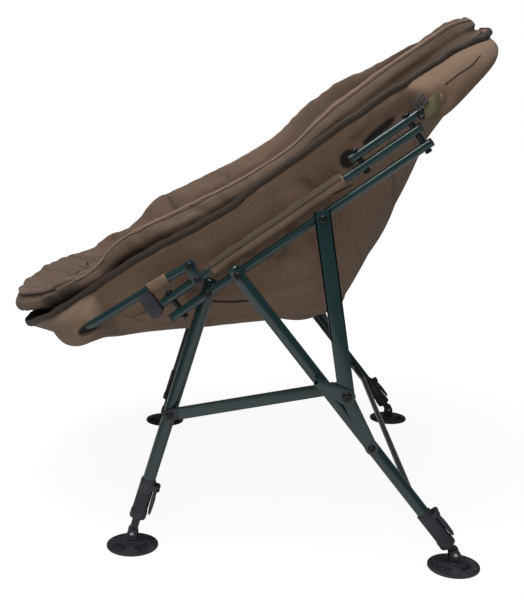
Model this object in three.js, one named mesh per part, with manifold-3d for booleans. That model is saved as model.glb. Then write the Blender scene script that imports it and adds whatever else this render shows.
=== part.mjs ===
// Carp fishing chair: a folding steel frame with telescopic legs and a padded bucket seat.
// Millimetres, +Z up, the sitter faces -Y, +X is the sitter's left. The left side is modelled and mirrored.
import * as THREE from "three";
import { mergeVertices } from "three/addons/utils/BufferGeometryUtils.js";
import Module from "manifold-3d";

const wasm = await Module();
wasm.setup();

// Clearances shared by all pieces
const GAP = 0.4;
const HOLE_CLEARANCE = 0.3;
const OVERRUN = 2;

// Rails: a pair of tubes on each side, leaning back
const RAIL = {
  lean: 36.06,
  frontY: -190.2,
  frontZ: 372.5,
  x: 347,
  radius: 6.5,
  wall: 1.2,
  lowerLength: 455.7,
  upperFront: 0.6,
  upperLength: 453.9,
  spacing: 25.7,
  capLength: 4,
};

// Legs, with their pivots on the lower rail
const REAR_LEG = {
  pivotU: 120,
  slope: 50.9,
  x: 364.5,
  radius: 9.75,
  topPast: 10,
  capHeight: 5,
  strutPin: 323.5,
  footPin: 540.05,
  collarToPin: 16,
};
const FRONT_LEG = {
  pivotU: 67,
  slope: 106,
  x: 314,
  radius: 10,
  topPast: 12,
  capHeight: 5,
  linkPin: 199,
  footPin: 403.5,
  collarToPin: 25.5,
};
const LEG_WALL = 1.5;
const PIN_HEIGHT = 24;

// Telescopic inner legs and their locks
const INNER_LEG = { radius: 6.25, inside: 195, ball: 6.2 };
const LOCK = {
  length: 66,
  radius: 11.9,
  collarLength: 14,
  collarRadius: 13,
  earFromEnd: 11,
  earRadius: 4.5,
  earWidth: 2.6,
  earRoot: 6,
  leverHalfWidth: 6,
  leverLength: 44,
  leverThickness: 5,
  leverRise: 1.5,
  leverTip: 3.5,
  pinRadius: 1.6,
  ribPitch: 5,
  ribs: 5,
  ribHeight: 1,
  ribLength: 2,
};

// Mud feet
const FOOT = {
  radius: 40,
  rim: 4.5,
  crown: 11,
  crownRadius: 17,
  scallops: 4,
  scallopInner: 22,
  scallopOuter: 35,
  scallopWidth: 27,
  scallopFloor: 3,
  earGap: 7,
  earThickness: 4,
  earRadius: 8,
  pinRadius: 2.2,
  pinHead: 1.2,
  ridgeHeight: 1.2,
  ridgeWidth: 2,
};

// Struts and links of the fold
const KNEE = { y: 69.8, z: 271.8 };
const STRUT = {
  pivotU: 265.5,
  webClearance: 0.6,
  webThickness: 2.8,
  halfWidth: 11.8,
  flangeDepth: 7.3,
  flangeThickness: 2,
  flangeFromKnee: 112,
  topPast: 13,
  kneePast: 12,
};
const LOWER_LINK = { clearance: 3.15, thickness: 3.2, halfWidth: 9.5 };
const FRONT_LINK = {
  clearance: 1,
  thickness: 10.5,
  halfHeight: 8.5,
  endPast: 11,
  fitting: 26,
  fittingInset: 0.8,
};
const LATCH = {
  clearance: 1,
  thickness: 2.6,
  reachY: -42.3,
  reachZ: 19.6,
  kneeRadius: 12.5,
  tipRadius: 7,
  lipDepth: 6.4,
  lipLength: 5,
};
const CROSS_TUBE = { radius: 5, joint: 410, run: 434, runHalf: 322, stub: 9, bend: 7 };

// Bolts, nuts and spacers
const BOLT = {
  radius: 3,
  headRadius: 6,
  headHeight: 3.4,
  nutRadius: 5.2,
  nutHeight: 3.8,
  pivotSpacer: 6,
  frontSpacer: 7,
  railSpacer: 4.6,
};
const KNEE_BOLT = { radius: 4, headRadius: 8, headHeight: 3.6, clearance: 0.9 };
const DOME = { edgeHeight: 0.45, shoulderShare: 0.75, shoulderHeight: 0.85 };
const LEG_CAP = { shoulderShare: 0.86, shoulderHeight: 0.6 };
const FRONT_BOLT_U = 20;
const REAR_BOLT_U = 443.4;
const HOOP_BOLT_U = 356;

// Hoops that carry the fabric
const FRONT_HOOP = {
  hingeU: 68.7,
  hingeN: 48.6,
  endPast: 8,
  neckU: 30,
  neckN: 52,
  rise: 57,
  bendU: -109,
  bendX: 335,
  barReach: 225,
  cornerX: 262,
};
const BACK_HOOP = {
  n: 44,
  frontU: 344,
  bendU: 492,
  cornerX: 296,
  cornerU: 566,
  cornerN: 50,
  shoulderX: 215,
  barU: 618,
  barN: 58,
};
const HINGE_PLATE = { thickness: 3, halfWidth: 8, lowerU: 67, lowerN: 25.7 };
const BLOCK = { length: 20, halfWidth: 10, bottomN: 13 };

// Bucket seat, in rail coordinates: x across, u along the rails, n square to them
const SEAT = {
  railClearance: 10.5,
  centreU: 211,
  halfLength: 457,
  corner: 3.3,
  rimN: 90,
  frontLift: 16,
  backDrop: 8,
  edgeDepth: 116,
  frontDrop: 5,
  sagDepth: 156,
  sagU: 200,
  sagReach: 280,
  sagRound: 26,
  wallPower: 5,
  backPower: 3.2,
  frontPower: 7,
  shell: 4,
  splitGap: 1,
};
const seatHalfWidth = RAIL.x - RAIL.radius - SEAT.railClearance;
const CUSHION = {
  thickness: 52,
  crown: 12,
  wingRise: 36,
  wingDrop: 22,
  wingHump: 33,
  wingLip: 30,
  wingShare: 0.965,
  frontReach: 38,
  frontPower: 4,
  lipPower: 8,
  edgeThickness: 46,
  channelPitch: 92,
  channelDepth: 9,
  channelWidth: 20,
  channelEndU: 20,
  gatherDepth: 5,
};
const GATHERS = 14;
const SLEEVE = { startU: 91, endU: 316, wall: 1.6, webN: 31, webThickness: 3, webReach: 51 };

// Facets
const TUBE_SIDES = 12;
const BEND_SIDES = 10;
const BOLT_SIDES = 8;
const HOLE_SIDES = 6;
const FOOT_SIDES = 20;
const COLUMNS = 38;
const SHELL_RINGS = 7;
const CUSHION_RINGS = 10;
const WING_STEPS = 5;
const PLATE_STEPS = 6;
const NUT_SIDES = 6;
const HOOP_STEPS = 4;
const CROSS_STEPS = 3;

const radians = THREE.MathUtils.degToRad;
const vec = (x, y, z) => new THREE.Vector3(x, y, z);
const lateral = vec(1, 0, 0);

// Materials
const steel = new THREE.MeshStandardMaterial({ color: 0x163832, roughness: 0.25, metalness: 0.3 });
const plastic = new THREE.MeshStandardMaterial({ color: 0x1a1a1b, roughness: 0.55, metalness: 0 });
const hardware = new THREE.MeshStandardMaterial({ color: 0x222427, roughness: 0.3, metalness: 0.7 });
const canvas = new THREE.MeshStandardMaterial({ color: 0x5c4c38, roughness: 0.9, metalness: 0 });
const padding = new THREE.MeshStandardMaterial({ color: 0x4f4130, roughness: 0.95, metalness: 0 });

// Rail coordinates to part coordinates
const along = vec(0, Math.cos(radians(RAIL.lean)), Math.sin(radians(RAIL.lean)));
const square = vec(0, -along.z, along.y);
function onRail(x, u, n) {
  return vec(x, RAIL.frontY, RAIL.frontZ).addScaledVector(along, u).addScaledVector(square, n);
}

// Unit vector in the side plane, at an angle in degrees from +Y
function sideways(angle) {
  return vec(0, Math.cos(radians(angle)), Math.sin(radians(angle)));
}

// A closed geometry as a manifold-3d solid
function solid(geometry) {
  const plain = geometry.clone();
  plain.deleteAttribute("normal");
  plain.deleteAttribute("uv");
  const merged = mergeVertices(plain, 1e-3);
  return new wasm.Manifold(
    new wasm.Mesh({
      numProp: 3,
      vertProperties: new Float32Array(merged.attributes.position.array),
      triVerts: new Uint32Array(merged.index.array),
    }),
  );
}

function geometryOf(body) {
  const mesh = body.getMesh();
  const geometry = new THREE.BufferGeometry();
  geometry.setAttribute("position", new THREE.BufferAttribute(mesh.vertProperties, mesh.numProp));
  geometry.setIndex(new THREE.BufferAttribute(mesh.triVerts, 1));
  return geometry;
}

function join(bodies) {
  return bodies.reduce((all, body) => all.add(body));
}

function cut(body, tools) {
  return tools.reduce((left, tool) => left.subtract(tool), body);
}

// Primitive shapes placed between points
function rod(from, to, radius, sides = TUBE_SIDES) {
  const length = from.distanceTo(to);
  const geometry = new THREE.CylinderGeometry(radius, radius, length, sides);
  const turn = new THREE.Quaternion().setFromUnitVectors(vec(0, 1, 0), to.clone().sub(from).normalize());
  geometry.applyQuaternion(turn);
  const middle = from.clone().add(to).multiplyScalar(0.5);
  return solid(geometry.translate(middle.x, middle.y, middle.z));
}

function across(x0, x1, centre, radius, sides = BOLT_SIDES) {
  return rod(vec(x0, centre.y, centre.z), vec(x1, centre.y, centre.z), radius, sides);
}

// A cutting rod for a hole whose flats clear a bolt or pin of the given radius
function holeFor(radius, from, to) {
  return rod(from, to, (radius + HOLE_CLEARANCE) / Math.cos(Math.PI / HOLE_SIDES), HOLE_SIDES);
}

function sideHole(radius, x0, x1, centre) {
  return holeFor(radius, vec(x0 - OVERRUN, centre.y, centre.z), vec(x1 + OVERRUN, centre.y, centre.z));
}

// A box turned to two unit axes and their cross product, with three half sizes
function block(centre, axes, halves) {
  const geometry = new THREE.BoxGeometry(2 * halves[0], 2 * halves[1], 2 * halves[2]);
  const third = new THREE.Vector3().crossVectors(axes[0], axes[1]);
  geometry.applyMatrix4(new THREE.Matrix4().makeBasis(axes[0], axes[1], third).setPosition(centre));
  return solid(geometry);
}

// A turned shape: profile points (radius, height) round an axis
function turned(profile, origin, axis, sides = BOLT_SIDES) {
  const points = profile.map(([r, h]) => new THREE.Vector2(r, h));
  const geometry = new THREE.LatheGeometry(points, sides);
  geometry.applyQuaternion(new THREE.Quaternion().setFromUnitVectors(vec(0, 1, 0), axis));
  return solid(geometry.translate(origin.x, origin.y, origin.z));
}

function domed(origin, axis, radius, height) {
  const shoulder = [DOME.shoulderShare * radius, DOME.shoulderHeight * height];
  const profile = [[0, 0], [radius, 0], [radius, DOME.edgeHeight * height], shoulder, [0, height]];
  return turned(profile, origin, axis);
}

// A plate in the side plane with an outline of Y-Z points, from x0 to x1
function plate(shape, x0, x1) {
  const options = { depth: x1 - x0, bevelEnabled: false, curveSegments: PLATE_STEPS };
  const geometry = new THREE.ExtrudeGeometry(shape, options);
  geometry.applyMatrix4(new THREE.Matrix4().makeBasis(vec(0, 1, 0), vec(0, 0, 1), vec(1, 0, 0)));
  return solid(geometry.translate(x0, 0, 0));
}

// A bar outline between two points, with rounded ends of given radii
function barShape(from, to, startRadius, endRadius) {
  const heading = Math.atan2(to.z - from.z, to.y - from.y);
  const quarter = Math.PI / 2;
  const shape = new THREE.Shape();
  shape.absarc(from.y, from.z, startRadius, heading + quarter, heading - quarter, false);
  shape.absarc(to.y, to.z, endRadius, heading - quarter, heading + quarter, false);
  shape.closePath();
  return shape;
}

// A curve through listed points whose stations are the points themselves
class Route extends THREE.Curve {
  constructor(points) {
    super();
    this.points = points;
  }
  getPoint(t) {
    const place = t * (this.points.length - 1);
    const index = Math.min(Math.floor(place), this.points.length - 2);
    return this.points[index].clone().lerp(this.points[index + 1], place - index);
  }
  getPointAt(t) {
    return this.getPoint(t);
  }
  getTangentAt(t) {
    const step = 0.5 / (this.points.length - 1);
    const before = this.getPoint(Math.max(0, t - step));
    const after = this.getPoint(Math.min(1, t + step));
    return after.sub(before).normalize();
  }
}

function bentTube(points, radius, sides = BEND_SIDES) {
  const section = new THREE.Shape();
  section.absarc(0, 0, radius, 0, 2 * Math.PI);
  const extrudePath = new Route(points);
  const steps = points.length - 1;
  const options = { steps, extrudePath, curveSegments: Math.round(sides / 2), bevelEnabled: false };
  return solid(new THREE.ExtrudeGeometry(section, options));
}

// Straight runs between corners, each corner rounded by a quadratic curve
function roundedRoute(corners, reach, steps = 6) {
  const points = [corners[0]];
  for (let i = 1; i < corners.length - 1; i++) {
    const toBefore = corners[i - 1].clone().sub(corners[i]).normalize();
    const toAfter = corners[i + 1].clone().sub(corners[i]).normalize();
    const start = corners[i].clone().addScaledVector(toBefore, reach[i - 1]);
    const end = corners[i].clone().addScaledVector(toAfter, reach[i - 1]);
    points.push(...new THREE.QuadraticBezierCurve3(start, corners[i], end).getPoints(steps));
  }
  points.push(corners[corners.length - 1]);
  return points;
}

function mirrored(points) {
  const others = points.map((p) => vec(-p.x, p.y, p.z)).reverse();
  return [...points, ...others];
}

// Node placing
const chair = new THREE.Group();
function add(name, body, material) {
  const mesh = new THREE.Mesh(geometryOf(body), material);
  mesh.name = name;
  chair.add(mesh);
  return mesh;
}

function addPair(name, body, material) {
  add(name + "_left", body, material);
  add(name + "_right", body, material).scale.x = -1;
}

// Pivots and leg axes
const frontPivot = onRail(RAIL.x, FRONT_LEG.pivotU, 0);
const rearPivot = onRail(RAIL.x, REAR_LEG.pivotU, 0);
const strutPivot = onRail(RAIL.x, STRUT.pivotU, 0);
const rearDown = sideways(-REAR_LEG.slope);
const frontDown = sideways(-FRONT_LEG.slope);
const knee = vec(0, KNEE.y, KNEE.z);
const strutPin = rearPivot.clone().addScaledVector(rearDown, REAR_LEG.strutPin);
const linkPin = frontPivot.clone().addScaledVector(frontDown, FRONT_LEG.linkPin);
const railOuter = RAIL.x + RAIL.radius;
const railInner = RAIL.x - RAIL.radius;
const rearOuter = REAR_LEG.x + REAR_LEG.radius;
const frontInner = FRONT_LEG.x - FRONT_LEG.radius;
const frontOuter = FRONT_LEG.x + FRONT_LEG.radius;

// Places across the chair, each from the one inside it
const lowerLinkInner = rearOuter + LOWER_LINK.clearance;
const lowerLinkOuter = lowerLinkInner + LOWER_LINK.thickness;
const strutWebInner = lowerLinkOuter + STRUT.webClearance;
const strutWebOuter = strutWebInner + STRUT.webThickness;
const flangeInner = strutWebOuter - STRUT.flangeDepth;
const latchInner = strutWebOuter + LATCH.clearance;
const latchOuter = latchInner + LATCH.thickness;
const latchLipInner = latchOuter - LATCH.lipDepth;
const frontLinkInner = frontOuter + FRONT_LINK.clearance;
const frontLinkOuter = frontLinkInner + FRONT_LINK.thickness;
const kneeBoltInner = frontLinkOuter + KNEE_BOLT.clearance;

// Rails: hollow tubes with an end cap at each end and a hole at each bolt
function rail(startU, length, n, sideHoles, topHoles) {
  const start = onRail(RAIL.x, startU, n);
  const end = onRail(RAIL.x, startU + length, n);
  const outside = rod(start, end, RAIL.radius);
  const boreStart = onRail(RAIL.x, startU + RAIL.capLength, n);
  const boreEnd = onRail(RAIL.x, startU + length - RAIL.capLength, n);
  const bore = rod(boreStart, boreEnd, RAIL.radius - RAIL.wall, BOLT_SIDES);
  const reach = RAIL.radius + OVERRUN;
  const holes = [
    ...sideHoles.map((u) => sideHole(BOLT.radius, railInner, railOuter, onRail(RAIL.x, u, n))),
    ...topHoles.map((u) => {
      const below = onRail(RAIL.x, u, n - reach);
      return holeFor(BOLT.radius, below, onRail(RAIL.x, u, n + reach));
    }),
  ];
  return cut(outside, [bore, ...holes]);
}

const lowerHoles = [FRONT_LEG.pivotU, REAR_LEG.pivotU, STRUT.pivotU];
const lowerRail = rail(0, RAIL.lowerLength, 0, lowerHoles, [FRONT_BOLT_U, REAR_BOLT_U]);
const upperTopHoles = [FRONT_BOLT_U, HOOP_BOLT_U, REAR_BOLT_U];
const upperSideHoles = [HINGE_PLATE.lowerU];
const upperRail = rail(RAIL.upperFront, RAIL.upperLength, RAIL.spacing, upperSideHoles, upperTopHoles);
addPair("rail_lower", lowerRail, steel);
addPair("rail_upper", upperRail, steel);

// Bolts that run square to the rails: head above, nut below, a spacer in each gap
function railBolt(u, topN, bottomN, gaps) {
  const shaftEnd = onRail(RAIL.x, u, bottomN - BOLT.nutHeight / 2);
  const parts = [rod(shaftEnd, onRail(RAIL.x, u, topN + BOLT.headHeight / 4), BOLT.radius, BOLT_SIDES)];
  parts.push(domed(onRail(RAIL.x, u, topN), square, BOLT.headRadius, BOLT.headHeight));
  const nutEnd = onRail(RAIL.x, u, bottomN - BOLT.nutHeight);
  parts.push(rod(nutEnd, onRail(RAIL.x, u, bottomN), BOLT.nutRadius, NUT_SIDES));
  for (const [low, high] of gaps) {
    const bottom = onRail(RAIL.x, u, low + GAP);
    parts.push(rod(bottom, onRail(RAIL.x, u, high - GAP), BOLT.railSpacer, BOLT_SIDES));
  }
  return join(parts);
}

const lowerTop = RAIL.radius;
const upperBottom = RAIL.spacing - RAIL.radius;
const upperTop = RAIL.spacing + RAIL.radius;
const hoopBottom = BACK_HOOP.n - RAIL.radius;
const hoopTop = BACK_HOOP.n + RAIL.radius;
const rearGaps = [[lowerTop, upperBottom], [upperTop, hoopBottom]];
const frontBolt = railBolt(FRONT_BOLT_U, upperTop + GAP, -RAIL.radius - GAP, [[lowerTop, upperBottom]]);
const rearBolt = railBolt(REAR_BOLT_U, hoopTop + GAP, -RAIL.radius - GAP, rearGaps);
const hoopBolt = railBolt(HOOP_BOLT_U, hoopTop + GAP, upperBottom - GAP, [[upperTop, hoopBottom]]);
addPair("rail_bolt_front", frontBolt, hardware);
addPair("rail_bolt_rear", rearBolt, hardware);
addPair("hoop_bolt", hoopBolt, hardware);

// Pivot bolts across the rails: a domed head outside and a nut inside
function pivotBolt(centre, inner, outer, spacers) {
  const parts = [across(inner - BOLT.nutHeight / 2, outer + BOLT.headHeight / 4, centre, BOLT.radius)];
  parts.push(domed(vec(outer, centre.y, centre.z), vec(1, 0, 0), BOLT.headRadius, BOLT.headHeight));
  parts.push(across(inner - BOLT.nutHeight, inner, centre, BOLT.nutRadius, NUT_SIDES));
  for (const [low, high, radius] of spacers) parts.push(across(low + GAP, high - GAP, centre, radius));
  return join(parts);
}

const frontSpacer = [frontOuter, railInner, BOLT.frontSpacer];
const strutSpacer = [railOuter, strutWebInner, BOLT.pivotSpacer];
const frontPivotBolt = pivotBolt(frontPivot, frontInner - GAP, railOuter + GAP, [frontSpacer]);
addPair("front_pivot_bolt", frontPivotBolt, hardware);
addPair("rear_pivot_bolt", pivotBolt(rearPivot, railInner - GAP, rearOuter + GAP, []), hardware);
const strutBolt = pivotBolt(strutPivot, railInner - GAP, strutWebOuter + GAP, [strutSpacer]);
addPair("strut_pivot_bolt", strutBolt, hardware);

// Hoop hinge: a plate outside the tubes, with a bolt to the rail and one to the front hoop
const hoopHinge = onRail(RAIL.x, FRONT_HOOP.hingeU, FRONT_HOOP.hingeN);
const plateLower = onRail(RAIL.x, HINGE_PLATE.lowerU, HINGE_PLATE.lowerN);
const plateInner = railOuter + GAP;
const plateOuter = plateInner + HINGE_PLATE.thickness;
const plateOutline = barShape(plateLower, hoopHinge, HINGE_PLATE.halfWidth, HINGE_PLATE.halfWidth);
const plateHole = sideHole(BOLT.radius, plateInner, plateOuter, hoopHinge);
const plateBody = cut(plate(plateOutline, plateInner, plateOuter), [plateHole]);
const plateRivet = pivotBolt(plateLower, railInner - GAP, plateOuter, []);
addPair("hinge_plate", plateBody.add(plateRivet), hardware);
addPair("hoop_pivot_bolt", pivotBolt(hoopHinge, railInner - GAP, plateOuter + GAP, []), hardware);

// Back hoop: from the rails over the top of the seat and down the other side
const backStart = onRail(RAIL.x, BACK_HOOP.frontU, BACK_HOOP.n);
const backCorners = [
  onRail(RAIL.x, BACK_HOOP.bendU, BACK_HOOP.n),
  onRail(BACK_HOOP.cornerX, BACK_HOOP.cornerU, BACK_HOOP.cornerN),
  onRail(BACK_HOOP.shoulderX, BACK_HOOP.barU, BACK_HOOP.barN),
];
const backMiddle = onRail(0, BACK_HOOP.barU, BACK_HOOP.barN);
const bendReach = [RAIL.radius * 5, RAIL.radius * 6, RAIL.radius * 6];
const backHalf = roundedRoute([backStart, ...backCorners, backMiddle], bendReach, HOOP_STEPS).slice(0, -1);
const backRoute = mirrored(backHalf);
const backTube = bentTube(backRoute, RAIL.radius);
const backHoles = [HOOP_BOLT_U, REAR_BOLT_U].flatMap((u) =>
  [1, -1].map((side) => {
    const x = side * RAIL.x;
    return holeFor(BOLT.radius, onRail(x, u, hoopBottom - OVERRUN), onRail(x, u, hoopTop + OVERRUN));
  }),
);
add("back_hoop", cut(backTube, backHoles), steel);

// Front hoop: hinged to the rails, running forward and across inside the seat front
const barU = FRONT_HOOP.hingeU - FRONT_HOOP.barReach;
const frontCorners = [
  onRail(RAIL.x, FRONT_HOOP.neckU, FRONT_HOOP.neckN),
  onRail(FRONT_HOOP.bendX, FRONT_HOOP.bendU, FRONT_HOOP.rise),
  onRail(FRONT_HOOP.cornerX, barU, FRONT_HOOP.rise),
];
const frontEnd = onRail(RAIL.x, FRONT_HOOP.hingeU + FRONT_HOOP.endPast, FRONT_HOOP.hingeN);
const frontMiddle = onRail(0, barU, FRONT_HOOP.rise);
const frontReach = [RAIL.radius * 3, RAIL.radius * 4, RAIL.radius * 6];
const frontPlaces = [frontEnd, ...frontCorners, frontMiddle];
const frontHalf = roundedRoute(frontPlaces, frontReach, HOOP_STEPS).slice(0, -1);
const frontRoute = mirrored(frontHalf);
const hoopHoles = [1, -1].map((side) => {
  const x = side * RAIL.x;
  return sideHole(BOLT.radius, x - RAIL.radius, x + RAIL.radius, hoopHinge);
});
add("front_hoop", cut(bentTube(frontRoute, RAIL.radius), hoopHoles), steel);

// Saddle block under the front hoop, in front of the upper rail
const blockMiddleU = -BLOCK.length / 2;
const hoopRise = (FRONT_HOOP.rise - FRONT_HOOP.neckN) / (FRONT_HOOP.neckU - FRONT_HOOP.bendU);
const hoopAtBlock = FRONT_HOOP.neckN + (FRONT_HOOP.neckU - blockMiddleU) * hoopRise;
const blockTop = hoopAtBlock;
const blockCentre = onRail(RAIL.x, blockMiddleU, (BLOCK.bottomN + blockTop) / 2);
const blockHalves = [BLOCK.halfWidth, BLOCK.length / 2, (blockTop - BLOCK.bottomN) / 2];
const frontTunnel = bentTube(frontRoute, RAIL.radius + GAP);
addPair("saddle_block", cut(block(blockCentre, [lateral, along], blockHalves), [frontTunnel]), plastic);

// Outer legs: tubes with a rounded cap at the top and a bore for the inner leg
function leg(spec, pivot, down, pinHoles) {
  const centre = vec(spec.x, pivot.y, pivot.z);
  const top = centre.clone().addScaledVector(down, -spec.topPast);
  const tubeEnd = centre.clone().addScaledVector(down, spec.footPin - spec.collarToPin - LOCK.collarLength);
  const tube = rod(top, tubeEnd, spec.radius);
  const up = down.clone().negate();
  const rim = spec.radius;
  const shoulder = [LEG_CAP.shoulderShare * rim, LEG_CAP.shoulderHeight * spec.capHeight];
  const capProfile = [[0, 0], [rim, 0], shoulder, [0, spec.capHeight]];
  const cap = turned(capProfile, top, up, TUBE_SIDES);
  const boreEnd = tubeEnd.clone().addScaledVector(down, OVERRUN);
  const bore = rod(centre.clone().addScaledVector(down, spec.radius), boreEnd, spec.radius - LEG_WALL);
  const holes = pinHoles.map((distance) => {
    const place = centre.clone().addScaledVector(down, distance);
    return sideHole(BOLT.radius, spec.x - spec.radius, spec.x + spec.radius, place);
  });
  return cut(tube.add(cap), [bore, ...holes]);
}

addPair("rear_leg", leg(REAR_LEG, rearPivot, rearDown, [0]), steel);
addPair("front_leg", leg(FRONT_LEG, frontPivot, frontDown, [0, FRONT_LEG.linkPin]), steel);

// Cross tube between the rear legs
const legInner = REAR_LEG.x - REAR_LEG.radius;
const crossStart = rearPivot.clone().addScaledVector(rearDown, CROSS_TUBE.joint).setX(legInner - GAP);
const crossStub = crossStart.clone().setX(crossStart.x - CROSS_TUBE.stub);
const crossTurn = rearPivot.clone().addScaledVector(rearDown, CROSS_TUBE.run).setX(CROSS_TUBE.runHalf);
const crossMiddle = crossTurn.clone().setX(0);
const crossReach = [CROSS_TUBE.bend, 2 * CROSS_TUBE.bend];
const crossCorners = [crossStart, crossStub, crossTurn, crossMiddle];
const crossHalf = roundedRoute(crossCorners, crossReach, CROSS_STEPS).slice(0, -1);
add("leg_cross_tube", bentTube(mirrored(crossHalf), CROSS_TUBE.radius), steel);

// Leg locks: a sleeve with a collar and two ears, and a lever between the ears
function lockFrame(spec, pivot, down) {
  const bottom = vec(spec.x, pivot.y, pivot.z).addScaledVector(down, spec.footPin - spec.collarToPin);
  const up = down.clone().negate();
  const back = new THREE.Vector3().crossVectors(up, lateral).negate();
  if (back.y < 0) back.negate();
  const at = (x, height, out) => {
    const place = bottom.clone().addScaledVector(up, height).addScaledVector(back, out);
    return place.setX(spec.x + x);
  };
  return { bottom, up, back, at };
}

const earOut = LOCK.radius + LOCK.earRadius;
const earHeight = LOCK.length - LOCK.earFromEnd;
const leverInside = LOCK.radius + GAP;

function lockSleeve(spec, pivot, down) {
  const { bottom, up, at } = lockFrame(spec, pivot, down);
  const profile = [
    [0, 0],
    [LOCK.collarRadius, 0],
    [LOCK.collarRadius, LOCK.collarLength],
    [LOCK.radius, LOCK.collarLength],
    [LOCK.radius, LOCK.length],
    [0, LOCK.length],
  ];
  const body = turned(profile, bottom, up, TUBE_SIDES);
  const innerBore = rod(at(0, -OVERRUN, 0), at(0, LOCK.length, 0), INNER_LEG.radius + GAP);
  const seat = LOCK.collarLength - GAP;
  const outerBore = rod(at(0, seat, 0), at(0, LOCK.length + OVERRUN, 0), spec.radius + GAP);
  const ears = [1, -1].map((side) => {
    const inner = side * (LOCK.leverHalfWidth + GAP);
    const outer = side * (LOCK.leverHalfWidth + GAP + LOCK.earWidth);
    const innerEnd = at(inner, earHeight, earOut);
    const round = rod(innerEnd, at(outer, earHeight, earOut), LOCK.earRadius, BOLT_SIDES);
    const rootOut = (LOCK.earRoot + earOut) / 2;
    const halves = [LOCK.earWidth / 2, LOCK.earRadius, (earOut - LOCK.earRoot) / 2];
    const root = block(at((inner + outer) / 2, earHeight, rootOut), [lateral, up], halves);
    return round.add(root);
  });
  const pinReach = LOCK.leverHalfWidth + LOCK.earWidth + OVERRUN;
  const pinStart = at(-pinReach, earHeight, earOut);
  const pinHole = holeFor(LOCK.pinRadius, pinStart, at(pinReach, earHeight, earOut));
  return cut(join([body, ...ears]), [innerBore, outerBore, pinHole]);
}

function lockLever(spec, pivot, down) {
  const { up, back, at } = lockFrame(spec, pivot, down);
  const lowHeight = earHeight - LOCK.leverLength;
  const outline = new THREE.Shape();
  const inside = leverInside - earOut;
  outline.moveTo(inside, 0);
  outline.absarc(0, 0, LOCK.earRadius - GAP, Math.PI, 0, true);
  outline.lineTo(inside + LOCK.leverThickness + LOCK.leverRise, -LOCK.leverLength / 2);
  outline.lineTo(inside + LOCK.leverTip + LOCK.leverRise, -LOCK.leverLength);
  outline.lineTo(inside + LOCK.leverRise, -LOCK.leverLength);
  outline.lineTo(inside, -LOCK.leverLength / 2);
  outline.closePath();
  const width = 2 * LOCK.leverHalfWidth;
  const options = { depth: width, bevelEnabled: false, curveSegments: PLATE_STEPS };
  const geometry = new THREE.ExtrudeGeometry(outline, options);
  const origin = at(-LOCK.leverHalfWidth, earHeight, earOut);
  geometry.applyMatrix4(new THREE.Matrix4().makeBasis(back, up, lateral).setPosition(origin));
  const parts = [solid(geometry)];
  const pinReach = LOCK.leverHalfWidth + GAP + LOCK.earWidth;
  parts.push(rod(at(-pinReach, earHeight, earOut), at(pinReach, earHeight, earOut), LOCK.pinRadius, 8));
  for (let i = 0; i < LOCK.ribs; i++) {
    const height = lowHeight + LOCK.ribLength + i * LOCK.ribPitch;
    const share = (earHeight - height) / LOCK.leverLength;
    const spread = LOCK.leverTip + (LOCK.leverThickness - LOCK.leverTip) * 2 * (1 - share);
    const out = leverInside + LOCK.leverRise + spread;
    const halves = [LOCK.leverHalfWidth, LOCK.ribLength / 2, LOCK.ribHeight];
    parts.push(block(at(0, height, out), [lateral, up], halves));
  }
  return join(parts);
}

// Inner legs: a rod inside the outer leg, with a round eye for the foot pin
function innerLeg(spec, pivot, down) {
  const pin = vec(spec.x, pivot.y, pivot.z).addScaledVector(down, spec.footPin);
  const top = pin.clone().addScaledVector(down, -INNER_LEG.inside);
  const eye = new THREE.SphereGeometry(INNER_LEG.ball, BOLT_SIDES, NUT_SIDES);
  eye.translate(pin.x, pin.y, pin.z);
  const hole = sideHole(FOOT.pinRadius, pin.x - INNER_LEG.radius, pin.x + INNER_LEG.radius, pin);
  return cut(rod(top, pin, INNER_LEG.radius).add(solid(eye)), [hole]);
}

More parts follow.
